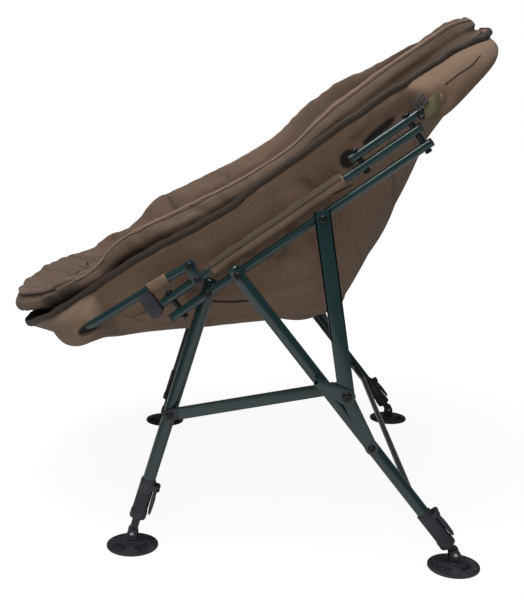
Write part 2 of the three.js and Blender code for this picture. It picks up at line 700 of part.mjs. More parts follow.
// Mud feet: a disc with scalloped hollows, two ears and the pin
function foot(spec, pivot, down) {
  const pin = vec(spec.x, pivot.y, pivot.z).addScaledVector(down, spec.footPin);
  const floor = vec(pin.x, pin.y, pin.z - PIN_HEIGHT);
  const profile = [
    [0, 0],
    [FOOT.radius - FOOT.ridgeHeight, 0],
    [FOOT.radius, FOOT.ridgeHeight],
    [FOOT.radius, FOOT.rim],
    [FOOT.crownRadius, FOOT.crown],
    [0, FOOT.crown],
  ];
  const disc = turned(profile, floor, vec(0, 0, 1), FOOT_SIDES);
  const hollows = [];
  const ridges = [];
  for (let i = 0; i < FOOT.scallops; i++) {
    const angle = ((i + 0.5) / FOOT.scallops) * 2 * Math.PI;
    const out = vec(Math.cos(angle), Math.sin(angle), 0);
    const side = vec(-out.y, out.x, 0);
    const middle = (FOOT.scallopInner + FOOT.scallopOuter) / 2;
    const reach = (FOOT.scallopOuter - FOOT.scallopInner) / 2;
    const height = floor.z + FOOT.scallopFloor + FOOT.crown / 2;
    const centre = floor.clone().addScaledVector(out, middle).setZ(height);
    hollows.push(block(centre, [out, side], [reach, FOOT.scallopWidth / 2, FOOT.crown / 2]));
    const ridgeCentre = centre.clone().setZ(floor.z + FOOT.scallopFloor + FOOT.ridgeHeight / 2);
    const ridgeHalves = [reach, FOOT.ridgeWidth / 2, FOOT.ridgeHeight];
    ridges.push(block(ridgeCentre, [out, side], ridgeHalves));
  }
  const ears = [1, -1].map((side) => {
    const inner = pin.x + side * FOOT.earGap;
    const outer = pin.x + side * (FOOT.earGap + FOOT.earThickness);
    const eye = across(inner, outer, pin, FOOT.earRadius, TUBE_SIDES);
    const stem = PIN_HEIGHT - FOOT.crown + OVERRUN;
    const stemCentre = vec((inner + outer) / 2, pin.y, pin.z - stem / 2);
    const halves = [FOOT.earThickness / 2, FOOT.earRadius, stem / 2];
    return eye.add(block(stemCentre, [lateral, vec(0, 1, 0)], halves));
  });
  const pinReach = FOOT.earGap + FOOT.earThickness + FOOT.pinHead;
  const pinRod = across(pin.x - pinReach, pin.x + pinReach, pin, FOOT.pinRadius);
  return join([cut(disc, hollows), ...ridges, ...ears, pinRod]);
}

const legSets = [
  ["rear", REAR_LEG, rearPivot, rearDown],
  ["front", FRONT_LEG, frontPivot, frontDown],
];
for (const [end, spec, pivot, down] of legSets) {
  addPair(end + "_lock_sleeve", lockSleeve(spec, pivot, down), plastic);
  addPair(end + "_lock_lever", lockLever(spec, pivot, down), plastic);
  addPair(end + "_inner_leg", innerLeg(spec, pivot, down), plastic);
  addPair(end + "_foot", foot(spec, pivot, down), plastic);
}

// Struts: a flat bar from the rail to the knee, with folded flanges on its upper part
const toKnee = vec(0, knee.y - strutPivot.y, knee.z - strutPivot.z);
const strutLength = toKnee.length();
toKnee.normalize();
const strutSide = vec(0, -toKnee.z, toKnee.y);
const onStrut = (x, distance, out) =>
  vec(x, strutPivot.y, strutPivot.z).addScaledVector(toKnee, distance).addScaledVector(strutSide, out);
const strutAxes = [lateral, toKnee];
const squareEnd = (strutLength - STRUT.topPast) / 2;
const webHalves = [STRUT.webThickness / 2, (strutLength + STRUT.topPast) / 2, STRUT.halfWidth];
const webMiddle = onStrut(strutWebOuter - STRUT.webThickness / 2, squareEnd, 0);
const web = block(webMiddle, strutAxes, webHalves);
const kneeRound = across(strutWebInner, strutWebOuter, knee, STRUT.kneePast);
const flangeLength = strutLength - STRUT.flangeFromKnee + STRUT.topPast;
const flangeMiddleX = (flangeInner + strutWebOuter) / 2;
const flanges = [1, -1].map((side) => {
  const out = side * (STRUT.halfWidth - STRUT.flangeThickness / 2);
  const centre = onStrut(flangeMiddleX, flangeLength / 2 - STRUT.topPast, out);
  const halves = [(strutWebOuter - flangeInner) / 2, flangeLength / 2, STRUT.flangeThickness / 2];
  return block(centre, strutAxes, halves);
});
const strutHoles = [
  sideHole(BOLT.radius, strutWebInner, strutWebOuter, strutPivot),
  sideHole(KNEE_BOLT.radius, strutWebInner, strutWebOuter, knee),
];
addPair("strut", cut(join([web, kneeRound, ...flanges]), strutHoles), steel);

// Knee bolt: through the latch, the strut and the lower link
const kneeHeadX = latchOuter + GAP;
const kneeBolt = join([
  across(kneeBoltInner, kneeHeadX, knee, KNEE_BOLT.radius),
  domed(vec(kneeHeadX, knee.y, knee.z), lateral, KNEE_BOLT.headRadius, KNEE_BOLT.headHeight),
  across(frontLinkOuter + 2 * GAP + BOLT.nutHeight, lowerLinkInner - GAP, knee, BOLT.pivotSpacer),
]);
addPair("knee_bolt", kneeBolt, hardware);

// Latch plates that swing on the knee bolt and hook over the rear leg
const latchTip = vec(0, knee.y + LATCH.reachY, knee.z + LATCH.reachZ);
const latchOutline = barShape(knee, latchTip, LATCH.kneeRadius, LATCH.tipRadius);
const latchBody = plate(latchOutline, latchInner, latchOuter);
const latchOut = latchTip.clone().sub(knee).normalize();
const lipPlace = latchTip.clone().addScaledVector(latchOut, LATCH.tipRadius / 2);
lipPlace.setX((latchLipInner + latchOuter) / 2);
const lipHalves = [LATCH.lipDepth / 2, LATCH.lipLength / 2, LATCH.tipRadius / 2];
const latchLip = block(lipPlace, [lateral, latchOut], lipHalves);
const latchHole = sideHole(KNEE_BOLT.radius, latchInner, latchOuter, knee);
addPair("leg_latch", cut(latchBody.add(latchLip), [latchHole]), hardware);

// Lower links: from the knee to the rear leg, with the leg rivet
const linkWidth = LOWER_LINK.halfWidth;
const lowerBar = plate(barShape(knee, strutPin, linkWidth, linkWidth), lowerLinkInner, lowerLinkOuter);
const lowerHole = sideHole(KNEE_BOLT.radius, lowerLinkInner, lowerLinkOuter, knee);
const legRivet = across(rearOuter + GAP, lowerLinkOuter, strutPin, BOLT.headRadius);
const rivetPlace = vec(lowerLinkOuter, strutPin.y, strutPin.z);
const legRivetHead = domed(rivetPlace, lateral, BOLT.headRadius, BOLT.headHeight);
addPair("lower_link", cut(join([lowerBar, legRivet, legRivetHead]), [lowerHole]), steel);

// Front links: from the front leg to the knee, with riveted end fittings
const linkAlong = vec(0, knee.y - linkPin.y, knee.z - linkPin.z);
const linkLength = linkAlong.length();
linkAlong.normalize();
const linkUp = vec(0, -linkAlong.z, linkAlong.y);
const linkMiddle = knee.clone().add(linkPin).multiplyScalar(0.5);
linkMiddle.setX((frontLinkInner + frontLinkOuter) / 2);
const linkHalfWidth = (frontLinkOuter - frontLinkInner) / 2;
const linkHalves = [linkHalfWidth, linkLength / 2 + FRONT_LINK.endPast, FRONT_LINK.halfHeight];
const linkBar = block(linkMiddle, [lateral, linkAlong], linkHalves);
const fittingNotches = [1, -1].flatMap((end) =>
  [1, -1].map((side) => {
    const shift = end * (linkLength / 2 + FRONT_LINK.endPast - FRONT_LINK.fitting / 2);
    const centre = linkMiddle.clone().addScaledVector(linkAlong, shift);
    centre.addScaledVector(linkUp, side * FRONT_LINK.halfHeight);
    const halves = [linkHalves[0] + OVERRUN, FRONT_LINK.fitting / 2, FRONT_LINK.fittingInset];
    return block(centre, [lateral, linkAlong], halves);
  }),
);
const linkRivet = join([
  across(frontInner - GAP, frontLinkOuter, linkPin, BOLT.radius),
  domed(vec(frontLinkOuter, linkPin.y, linkPin.z), lateral, BOLT.headRadius, BOLT.headHeight),
  across(frontInner - GAP - BOLT.nutHeight, frontInner - GAP, linkPin, BOLT.nutRadius, NUT_SIDES),
]);
const kneeRivet = across(frontLinkInner - BOLT.nutHeight, frontLinkOuter, knee, BOLT.nutRadius);
addPair("front_link", join([cut(linkBar, fittingNotches), linkRivet, kneeRivet]), steel);

// Bucket form: depth of the fabric below its rim at a place in the rim's outline
function outlineAt(angle, share) {
  const c = Math.cos(angle);
  const s = Math.sin(angle);
  const reach = share / Math.pow(Math.abs(c) ** SEAT.corner + Math.abs(s) ** SEAT.corner, 1 / SEAT.corner);
  return [seatHalfWidth * c * reach, SEAT.centreU + SEAT.halfLength * s * reach];
}

function rimAt(u) {
  const share = (SEAT.centreU - u) / SEAT.halfLength;
  return SEAT.rimN + (share > 0 ? SEAT.frontLift : -SEAT.backDrop) * share ** 2;
}

function bowlPoint(angle, share) {
  const [x, u] = outlineAt(angle, share);
  const away = Math.hypot(u - SEAT.sagU, SEAT.sagRound) / SEAT.sagReach;
  const slope = 1 - away;
  const sag = (slope + Math.hypot(slope, SEAT.sagRound / SEAT.sagReach)) / 2;
  const toFront = Math.max(0, (SEAT.centreU - u) / SEAT.halfLength);
  const edge = SEAT.edgeDepth + SEAT.frontDrop * toFront ** 2;
  const toBack = Math.max(0, (u - SEAT.centreU) / SEAT.halfLength);
  const powerToBack = (SEAT.backPower - SEAT.wallPower) * toBack;
  const powerToFront = (SEAT.frontPower - SEAT.wallPower) * toFront;
  const power = SEAT.wallPower + powerToBack + powerToFront;
  const depth = (edge + SEAT.sagDepth * sag) * (1 - share ** power);
  return [x, u, rimAt(u) - depth];
}

// The bowl's inward normal, from neighbouring points
function bowlNormal(angle, share) {
  const step = 1e-3;
  const p = vec(...bowlPoint(angle, share));
  const near = share > 0.5 ? share - step : share + step;
  const radial = vec(...bowlPoint(angle, near)).sub(p).multiplyScalar(share > 0.5 ? -1 : 1);
  const round = vec(...bowlPoint(angle + step, share)).sub(p);
  return new THREE.Vector3().crossVectors(radial, round).normalize();
}

function offsetPoint(angle, share, distance) {
  const normal = share < 0.02 ? vec(0, 0, 1) : bowlNormal(angle, share);
  return vec(...bowlPoint(angle, share)).addScaledVector(normal, distance);
}

// A closed body from rows of points, each row going once round, between two poles
function rounded(rows, bottom, top) {
  const positions = [];
  const toWorld = (p) => onRail(p.x, p.y, p.z);
  positions.push(...toWorld(bottom).toArray());
  for (const row of rows) for (const p of row) positions.push(...toWorld(p).toArray());
  positions.push(...toWorld(top).toArray());
  const last = rows.length * COLUMNS + 1;
  const indices = [];
  const at = (row, column) => 1 + row * COLUMNS + (column % COLUMNS);
  for (let c = 0; c < COLUMNS; c++) {
    indices.push(0, at(0, c + 1), at(0, c));
    indices.push(last, at(rows.length - 1, c), at(rows.length - 1, c + 1));
    for (let r = 0; r < rows.length - 1; r++) {
      indices.push(at(r, c), at(r, c + 1), at(r + 1, c + 1));
      indices.push(at(r, c), at(r + 1, c + 1), at(r + 1, c));
    }
  }
  const geometry = new THREE.BufferGeometry();
  geometry.setAttribute("position", new THREE.Float32BufferAttribute(positions, 3));
  geometry.setIndex(indices);
  return solid(geometry);
}

const columnAngle = (column) => (column / COLUMNS) * 2 * Math.PI;
function bowlRow(share, distance) {
  return Array.from({ length: COLUMNS }, (_, c) => offsetPoint(columnAngle(c), share, distance));
}

function ringShares(count, last) {
  return Array.from({ length: count }, (_, i) => last * Math.sin(((i + 1) / count) * Math.PI * 0.5));
}

// A filled bowl: its surface moved inward by a distance, closed by a lid above the rim
function filledBowl(distance, lid, flare = 0) {
  const rows = ringShares(SHELL_RINGS, 1).map((share) => bowlRow(share, distance));
  const rim = rows[rows.length - 1];
  const wider = 1 + flare / seatHalfWidth;
  const spread = (p) => vec(p.x * wider, SEAT.centreU + (p.y - SEAT.centreU) * wider, p.z + lid);
  rows.push(rim.map(spread));
  const centre = offsetPoint(0, 0, distance);
  const above = rim.reduce((most, p) => Math.max(most, p.z), 0) + lid;
  return rounded(rows, centre, vec(0, SEAT.centreU, above));
}

// Seat cushion: crown, channels across the seat front, gathers and thick wings over the rim
function cushionThickness(angle, share) {
  const [, u] = outlineAt(angle, share);
  const crown = CUSHION.crown * (1 - share ** 2);
  const edge = (CUSHION.edgeThickness - CUSHION.thickness) * share ** 6;
  const place = (CUSHION.channelEndU - u) / CUSHION.channelPitch;
  const toLine = Math.abs(place - Math.round(place)) * CUSHION.channelPitch;
  const groove = CUSHION.channelDepth * Math.exp(-((toLine / CUSHION.channelWidth) ** 2));
  const channel = u < CUSHION.channelEndU ? groove : 0;
  const gather = CUSHION.gatherDepth * Math.cos(GATHERS * angle) * share ** 2 * (1 - share ** 8);
  return CUSHION.thickness + crown + edge - channel * (1 - share ** 8) + gather;
}

// How far the wings stand above the shell's rim: most beside the sitter's knees, least at the top
const HUMP = { front: -0.57, frontSlope: 0.04, back: 0.06, backSlope: 0.16 };
function wingRise(angle) {
  const [, u] = outlineAt(angle, 1);
  const share = (u - SEAT.centreU) / SEAT.halfLength;
  const begun = 1 / (1 + Math.exp((HUMP.front - share) / HUMP.frontSlope));
  const notOver = 1 / (1 + Math.exp((share - HUMP.back) / HUMP.backSlope));
  const hump = begun * notOver;
  const lip = CUSHION.wingLip * Math.max(0, -share) ** CUSHION.lipPower;
  return CUSHION.wingRise + lip - CUSHION.wingDrop * Math.max(0, share) + CUSHION.wingHump * hump;
}

function cushionBody() {
  const base = SEAT.shell / 2;
  const outerShares = ringShares(SHELL_RINGS, CUSHION.wingShare);
  const rows = outerShares.map((share) => bowlRow(share, base));
  const last = CUSHION.wingShare;
  for (let i = 1; i <= WING_STEPS; i++) {
    const turn = (i / WING_STEPS) * Math.PI;
    const row = [];
    for (let c = 0; c < COLUMNS; c++) {
      const angle = columnAngle(c);
      const outer = offsetPoint(angle, last, base);
      const inner = offsetPoint(angle, last, base + cushionThickness(angle, last));
      const point = outer.lerp(inner, (1 - Math.cos(turn)) / 2);
      point.z += wingRise(angle) * Math.sin(turn);
      point.y -= CUSHION.frontReach * Math.max(0, -Math.sin(angle)) ** CUSHION.frontPower * Math.sin(turn);
      row.push(point);
    }
    rows.push(row);
  }
  const innerShares = ringShares(CUSHION_RINGS, last).slice(0, -1).reverse();
  for (const share of innerShares) {
    const row = [];
    for (let c = 0; c < COLUMNS; c++) {
      const angle = columnAngle(c);
      row.push(offsetPoint(angle, share, base + cushionThickness(angle, share)));
    }
    rows.push(row);
  }
  const middle = base + cushionThickness(0, 0);
  return rounded(rows, offsetPoint(0, 0, base), offsetPoint(0, 0, middle));
}

// Fabric sleeve round each upper rail, sewn to the shell by a web
function sleeveBody(side) {
  const x = side * RAIL.x;
  const start = onRail(x, SLEEVE.startU, RAIL.spacing);
  const end = onRail(x, SLEEVE.endU, RAIL.spacing);
  const inner = RAIL.radius + GAP;
  const round = rod(start, end, inner + SLEEVE.wall);
  const webInner = RAIL.x - SLEEVE.webReach;
  const webCentre = (webInner + RAIL.x) / 2;
  const halves = [RAIL.x - webCentre, (SLEEVE.endU - SLEEVE.startU) / 2, SLEEVE.webThickness / 2];
  const centre = onRail(side * webCentre, (SLEEVE.startU + SLEEVE.endU) / 2, SLEEVE.webN);
  return round.add(block(centre, [lateral, along], halves));
}

function sleeveBore(side) {
  const x = side * RAIL.x;
  const start = onRail(x, SLEEVE.startU - OVERRUN, RAIL.spacing);
  return rod(start, onRail(x, SLEEVE.endU + OVERRUN, RAIL.spacing), RAIL.radius + GAP);
}

const sides = [1, -1];
const bowlInside = filledBowl(SEAT.shell, seatHalfWidth);
const bowlOutside = filledBowl(0, GAP);
const bound = join([bowlOutside, ...sides.map(sleeveBody)]);
const backTunnel = bentTube(backRoute, RAIL.radius + GAP);
const tunnels = [frontTunnel, backTunnel];
const wholeShell = cut(bound, [bowlInside, ...sides.map(sleeveBore), ...tunnels]);
const cushionRoom = filledBowl(SEAT.shell + GAP, seatHalfWidth, seatHalfWidth);
const wholeCushion = cut(cushionBody().intersect(cushionRoom), tunnels);

// Front and rear halves, parted at the front hoop's hinge
function halfSpace(front) {
  const reach = 2 * SEAT.halfLength;
  const u = FRONT_HOOP.hingeU + (front ? -1 : 1) * (reach + SEAT.splitGap / 2);
  return block(onRail(0, u, 0), [lateral, along], [reach, reach, reach]);
}

for (const [name, front] of [["front", true], ["rear", false]]) {
  add("seat_shell_" + name, wholeShell.intersect(halfSpace(front)), canvas);
  add("seat_cushion_" + name, wholeCushion.intersect(halfSpace(front)), padding);
}

// The footprint's centre becomes the origin, with the feet on the ground
const bounds = new THREE.Box3().setFromObject(chair);
const centreY = (bounds.min.y + bounds.max.y) / 2;
chair.position.set(0, -centreY, -bounds.min.z);

export default chair;
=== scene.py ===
# %% [markdown]
# # A folding carp chair
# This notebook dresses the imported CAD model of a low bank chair: painted steel rails and legs,
# black plastic locks and mud feet, and a padded bucket seat in brown canvas.
# The CAD model stays as the fixed frame. Every piece below is placed by the same sizes, in
# millimetres, that the CAD source uses, and then scaled to metres.

import math

import bmesh
import bpy
import numpy as np
from mathutils import Matrix, Vector, noise


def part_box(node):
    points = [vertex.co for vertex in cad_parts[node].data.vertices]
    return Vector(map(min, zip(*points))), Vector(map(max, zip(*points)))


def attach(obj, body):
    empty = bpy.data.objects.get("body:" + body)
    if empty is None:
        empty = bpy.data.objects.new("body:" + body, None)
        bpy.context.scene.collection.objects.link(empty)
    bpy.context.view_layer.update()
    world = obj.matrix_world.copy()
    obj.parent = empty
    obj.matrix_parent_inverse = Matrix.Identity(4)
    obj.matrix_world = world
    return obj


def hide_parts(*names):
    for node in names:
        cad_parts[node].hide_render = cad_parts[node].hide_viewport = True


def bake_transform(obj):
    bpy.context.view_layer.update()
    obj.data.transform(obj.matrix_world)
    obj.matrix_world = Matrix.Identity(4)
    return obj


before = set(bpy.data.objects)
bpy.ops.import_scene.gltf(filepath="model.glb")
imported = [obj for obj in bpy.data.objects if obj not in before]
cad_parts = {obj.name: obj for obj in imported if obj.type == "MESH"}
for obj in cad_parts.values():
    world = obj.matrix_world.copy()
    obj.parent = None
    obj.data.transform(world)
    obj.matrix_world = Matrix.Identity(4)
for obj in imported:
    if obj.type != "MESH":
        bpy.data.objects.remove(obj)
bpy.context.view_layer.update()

# %% [markdown]
# ## Where things are
# The chair's rails lean back, so most places are easier to say in rail coordinates: x across,
# u along the rails and n square to them. The knee bolt's box gives the step from the CAD
# source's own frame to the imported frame, so that nothing here goes stale when the CAD moves.

# %% Rail coordinates
LEAN = math.radians(36.06)
RAIL_FRONT = (-190.2, 372.5)
RAIL_X = 347
RAIL_RADIUS = 6.5
KNEE = (69.8, 271.8)
knee_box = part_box("knee_bolt_left")
SHIFT_Y = 500 * (knee_box[0].y + knee_box[1].y) - KNEE[0]
SHIFT_Z = 500 * (knee_box[0].z + knee_box[1].z) - KNEE[1]
ALONG = np.array([0, math.cos(LEAN), math.sin(LEAN)])
SQUARE = np.array([0, -math.sin(LEAN), math.cos(LEAN)])
ACROSS = np.array([1.0, 0, 0])


def on_rail(x, u, n):
    x, u, n = np.broadcast_arrays(np.asarray(x, float), u, n)
    y = RAIL_FRONT[0] + u * ALONG[1] + n * SQUARE[1] + SHIFT_Y
    z = RAIL_FRONT[1] + u * ALONG[2] + n * SQUARE[2] + SHIFT_Z
    return np.stack([x, y, z], -1)


def part_point(x, y, z):
    return np.array([x, y + SHIFT_Y, z + SHIFT_Z], float)


def sideways(degrees):
    return np.array([0, math.cos(math.radians(degrees)), math.sin(math.radians(degrees))])


def unit(v):
    return v / np.linalg.norm(v)


print("shift from source to part", round(SHIFT_Y, 2), round(SHIFT_Z, 2))

# %% [markdown]
# ## Camera
# The photograph was taken almost square to the chair's left side, a little above it, with a
# long lens. The parallel rails and the four feet fix the camera, and a focal length given in
# pixels turns into millimetres through the image's width.

# %% Camera
def placed(name, data):
    obj = bpy.data.objects.new(name, data)
    bpy.context.scene.collection.objects.link(obj)
    return obj


IMAGE_WIDTH, FOCAL_PIXELS, SENSOR_WIDTH = 524, 1000, 36
PITCH, YAW, ROLL = (math.radians(a) for a in (11.189, 1.168, 1.770))
forward = np.array([
    -math.cos(PITCH) * math.cos(YAW),
    math.cos(PITCH) * math.sin(YAW),
    -math.sin(PITCH),
])
level = np.array([math.sin(YAW), math.cos(YAW), 0])
upward = np.cross(level, forward)
right = math.cos(ROLL) * level + math.sin(ROLL) * upward
above = -math.sin(ROLL) * level + math.cos(ROLL) * upward
camera_data = bpy.data.cameras.new("photo_camera")
camera = placed("photo_camera", camera_data)
bpy.context.scene.camera = camera
camera_data.sensor_fit = "HORIZONTAL"
camera_data.sensor_width = SENSOR_WIDTH
camera_data.lens = SENSOR_WIDTH * FOCAL_PIXELS / IMAGE_WIDTH
camera_data.clip_end = 50
stand = part_point(1778.8, -86.2, 687.7) / 1000
turn = np.eye(4)
turn[:3, 0], turn[:3, 1], turn[:3, 2], turn[:3, 3] = right, above, -forward, stand
camera.matrix_world = Matrix(turn.tolist())
print("camera at", stand.round(3), "lens", round(camera_data.lens, 2))

# %% [markdown]
# ## Finishes: sockets as numbers
# A procedural finish is a sum of small pictures: noise, waves and masks. Wiring them by hand
# hides the formula, so one small class wraps a socket and lets Python's operators add the Math
# nodes, and one method makes every other node.

# %% Socket maths
class Wire:
    def __init__(self, finish, socket):
        self.finish = finish
        self.socket = socket

    def __add__(self, other):
        return self.finish.maths("ADD", self, other)

    def __sub__(self, other):
        return self.finish.maths("SUBTRACT", self, other)

    def __rsub__(self, other):
        return self.finish.maths("SUBTRACT", other, self)

    def __mul__(self, other):
        return self.finish.maths("MULTIPLY", self, other)

    __radd__ = __add__
    __rmul__ = __mul__


class Finish:
    def __init__(self, name, **constants):
        self.material = bpy.data.materials.new(name)
        self.material.use_nodes = True
        self.tree = self.material.node_tree
        self.shader = self.tree.nodes["Principled BSDF"]
        for label, value in constants.items():
            self.shader.inputs[label.replace("_", " ")].default_value = value

    def node(self, kind, settings=None, inputs=None, output=0):
        made = self.tree.nodes.new(kind)
        for name, value in (settings or {}).items():
            setattr(made, name, value)
        for name, value in (inputs or {}).items():
            self.feed(made.inputs[name], value)
        return Wire(self, made.outputs[output])

    def feed(self, socket, value):
        if isinstance(value, Wire):
            self.tree.links.new(value.socket, socket)
        else:
            socket.default_value = value

    def maths(self, operation, a, b=0.0):
        return self.node("ShaderNodeMath", {"operation": operation}, {0: a, 1: b})

    def mix(self, share, a, b):
        settings = {"data_type": "RGBA"}
        return self.node("ShaderNodeMix", settings, {0: share, 6: a, 7: b}, output=2)

    def ramp(self, value, low, high):
        inputs = {"Value": value, "From Min": low, "From Max": high}
        return self.node("ShaderNodeMapRange", {"clamp": True}, inputs)

    def noise(self, place, scale, detail):
        inputs = {"Vector": place, "Scale": scale, "Detail": detail}
        return self.node("ShaderNodeTexNoise", None, inputs)

    def place(self):
        return self.node("ShaderNodeTexCoord", output="Object")

    def stored(self, name):
        return self.node("ShaderNodeAttribute", {"attribute_name": name}, output="Vector")

    def split(self, vector):
        first = self.node("ShaderNodeSeparateXYZ", None, {0: vector})
        outputs = first.socket.node.outputs
        return [Wire(self, outputs[i]) for i in range(3)]

    def bump(self, height, distance, strength):
        inputs = {"Height": height, "Distance": distance, "Strength": strength}
        return self.node("ShaderNodeBump", None, inputs)

    def set(self, label, wire):
        self.feed(self.shader.inputs[label], wire)


print("socket class ready")

# %% [markdown]
# ## Painted steel
# The frame is painted in a very dark green, nearly black, and a coat over the paint gives it a
# clear gloss. A slow noise makes the paint a touch lighter and duller in places, as it is on a
# chair that has been carried about.

# %% Frame paint
def frame_paint():
    paint = Finish("frame_steel", Metallic=0.0, Coat_Roughness=0.1, Specular_IOR_Level=0.3)
    place = paint.place()
    slow = paint.noise(place, 9.0, 3.0)
    colour = paint.mix(slow, (0.0026, 0.0125, 0.0140, 1), (0.0050, 0.0215, 0.0230, 1))
    paint.set("Base Color", colour)
    paint.set("Roughness", 0.26 + 0.14 * slow)
    paint.set("Coat Weight", 0.4 + 0.2 * (1 - slow))
    return paint.material


FRAME_PAINT = frame_paint()

# %% [markdown]
# ## Black metal and black plastic
# Bolts and plates are blackened steel with a soft shine. The locks, feet and caps are
# glass-filled nylon: matt, faintly grey, with a fine spark-eroded grain from the mould.

# %% Bolts and plastic
def black_metal(name, colour, metallic):
    metal = Finish(name, Metallic=metallic)
    place = metal.place()
    stain = metal.noise(place, 60.0, 3.0)
    pale = tuple(1.9 * c for c in colour)
    metal.set("Base Color", metal.mix(stain, (*colour, 1), (*pale, 1)))
    metal.set("Roughness", 0.2 + 0.22 * stain)
    metal.set("Normal", metal.bump(metal.noise(place, 900.0, 1.0), 0.00005, 0.4))
    return metal.material


def moulded(name, colour, roughness):
    plastic = Finish(name, Specular_IOR_Level=0.3)
    place = plastic.place()
    grain = plastic.noise(place, 1400.0, 1.0)
    scuff = plastic.noise(place, 35.0, 4.0)
    pale = tuple(1.8 * c + 0.004 for c in colour)
    plastic.set("Base Color", plastic.mix(plastic.ramp(scuff, 0.4, 0.75), (*colour, 1), (*pale, 1)))
    plastic.set("Roughness", roughness + 0.2 * scuff)
    plastic.set("Normal", plastic.bump(grain, 0.0001, 0.5))
    return plastic.material


BOLT_BLACK = black_metal("black_hardware", (0.012, 0.012, 0.014), 0.7)
PIN_METAL = black_metal("pin_metal", (0.28, 0.28, 0.3), 0.9)
LOCK_PLASTIC = moulded("black_plastic", (0.015, 0.015, 0.020), 0.38)
BUCKLE_PLASTIC = moulded("grey_buckle", (0.03, 0.03, 0.034), 0.4)
print("metals and plastics", [m.name for m in (BOLT_BLACK, PIN_METAL, LOCK_PLASTIC, BUCKLE_PLASTIC)])

# %% [markdown]
# ## Cloth finishes
# The bag and the cushion's sides are a coated polyester canvas in olive brown, and the inner
# face is a brushed cloth of a redder, darker brown. The cushion's side panel gets a darker copy
# of the canvas, which is painted shade. Each cloth piece stores flat coordinates in metres on its
# points: around the rim, and away from the rim. The weave is drawn in them, so it follows the
# cloth when the seat folds. The third number, from 0 to 1, is painted shade in creases and folds,
# where the colour goes down to a quarter.

# %% Canvas and brushed cloth
CREASE_SHADE = 0.25


def woven(name, dark, light, pitch, nap, sheen=0.04):
    cloth = Finish(name, Sheen_Weight=sheen, Sheen_Roughness=0.5, Specular_IOR_Level=0.25)
    flat = cloth.stored("flat")
    across, down, painted_crease_shade = cloth.split(flat)
    turns = 2 * math.pi / pitch
    warp = cloth.maths("SINE", across * turns)
    weft = cloth.maths("SINE", down * turns)
    weave = 0.5 + 0.25 * (warp * weft) + 0.12 * warp
    slub = cloth.noise(flat, 260.0, 3.0)
    cloud = cloth.noise(flat, 7.0, 4.0)
    grain = cloth.noise(flat, 620.0, 2.0)
    patch = cloth.ramp(0.35 * cloud + 0.2 * slub + 0.45 * grain, 0.36, 0.64)
    colour = cloth.mix(patch, (*dark, 1), (*light, 1))
    # painted shade: where the third flat number marks a crease, the colour darkens towards CREASE_SHADE of
    # the dark tone
    cloth.set("Base Color", cloth.mix(painted_crease_shade, colour, (*(CREASE_SHADE * c for c in dark), 1)))
    cloth.set("Roughness", 0.78 + 0.16 * slub)
    height = weave * (1 - nap) + slub * nap
    cloth.set("Normal", cloth.bump(height, 0.0004, 0.5))
    return cloth.material


CANVAS = woven("seat_canvas", (0.092, 0.058, 0.038), (0.168, 0.112, 0.076), 0.0016, 0.35)
PADDING = woven("seat_padding", (0.072, 0.045, 0.031), (0.118, 0.078, 0.055), 0.0012, 0.8, 0.08)
PIPING = woven("piping_cloth", (0.12, 0.08, 0.058), (0.19, 0.125, 0.092), 0.0018, 0.5)
# near-black cloth that is painted shade: the bag's inner face, the tucked rows under the cushion's wing and
# the pocket openings
PAINTED_SHADE_CLOTH = woven("painted_shade_cloth", (0.008, 0.007, 0.006), (0.016, 0.014, 0.012), 0.0016, 0.5)
PINK_LINING = woven("bag_lining", (0.13, 0.075, 0.058), (0.19, 0.115, 0.09), 0.0016, 0.5)
# painted shade: the canvas at about two thirds of its brightness, for the cushion's side panel
SHADED_SIDE_CANVAS = woven("cushion_side_shaded", (0.058, 0.037, 0.025), (0.108, 0.072, 0.050), 0.0016, 0.35)
SEAM_BAND = woven("seam_band", (0.028, 0.020, 0.014), (0.060, 0.043, 0.029), 0.0012, 0.5)
DARK_THREAD = woven("dark_thread", (0.016, 0.011, 0.008), (0.032, 0.022, 0.016), 0.0008, 0.5)
PALE_THREAD = woven("olive_thread", (0.10, 0.085, 0.045), (0.16, 0.14, 0.08), 0.0008, 0.5)

# %% [markdown]
# The rim binding and the strap are ribbed webbing. Their ribs run across the band, so a sine
# of the distance along it gives both the rib's height and the painted shade in its grooves.

# %% Ribbed webbing
THREAD_PITCH = 0.0021


def ribbed(name, groove, crest, pitch):
    band = Finish(name)
    flat = band.stored("flat")
    side, along, _ = band.split(flat)
    wobble = band.noise(flat, 90.0, 2.0)
    ribs = band.maths("SINE", along * (2 * math.pi / pitch) + 2.0 * wobble)
    threads = band.maths("SINE", side * (2 * math.pi / THREAD_PITCH))
    height = 0.5 + 0.35 * ribs + 0.15 * threads
    # painted shade: the colour darkens towards the groove tone where the ribs and threads dip
    band.set("Base Color", band.mix(height, (*groove, 1), (*crest, 1)))
    band.set("Roughness", 0.7 + 0.2 * wobble)
    band.set("Normal", band.bump(height, 0.0009, 0.7))
    return band.material


BINDING = ribbed("rim_binding", (0.011, 0.008, 0.006), (0.043, 0.029, 0.021), 0.0038)
WEBBING = ribbed("olive_webbing", (0.045, 0.042, 0.018), (0.13, 0.115, 0.06), 0.0034)
print("cloths", [m.name for m in (CANVAS, PADDING, PIPING, PAINTED_SHADE_CLOTH, BINDING, WEBBING)])

# %% [markdown]
# ## From bodies to pieces
# A piece is made of one or more closed bodies, each a list of points and faces with a finish.
# One helper joins them, rounds their edges with a small bevel, shades them smooth with sharp
# edges kept, lets the piece ride on its CAD body and hides the CAD node that it stands for.

# %% Make a piece
def merged(bodies):
    points, faces, finishes = [], [], []
    start = 0
    for body_points, body_faces, finish in bodies:
        points.append(np.asarray(body_points, float).reshape(-1, 3))
        faces += [[start + i for i in face] for face in body_faces] if start else body_faces
        finishes += finish if isinstance(finish, list) else [finish] * len(body_faces)
        start += len(points[-1])
    return np.concatenate(points), faces, finishes


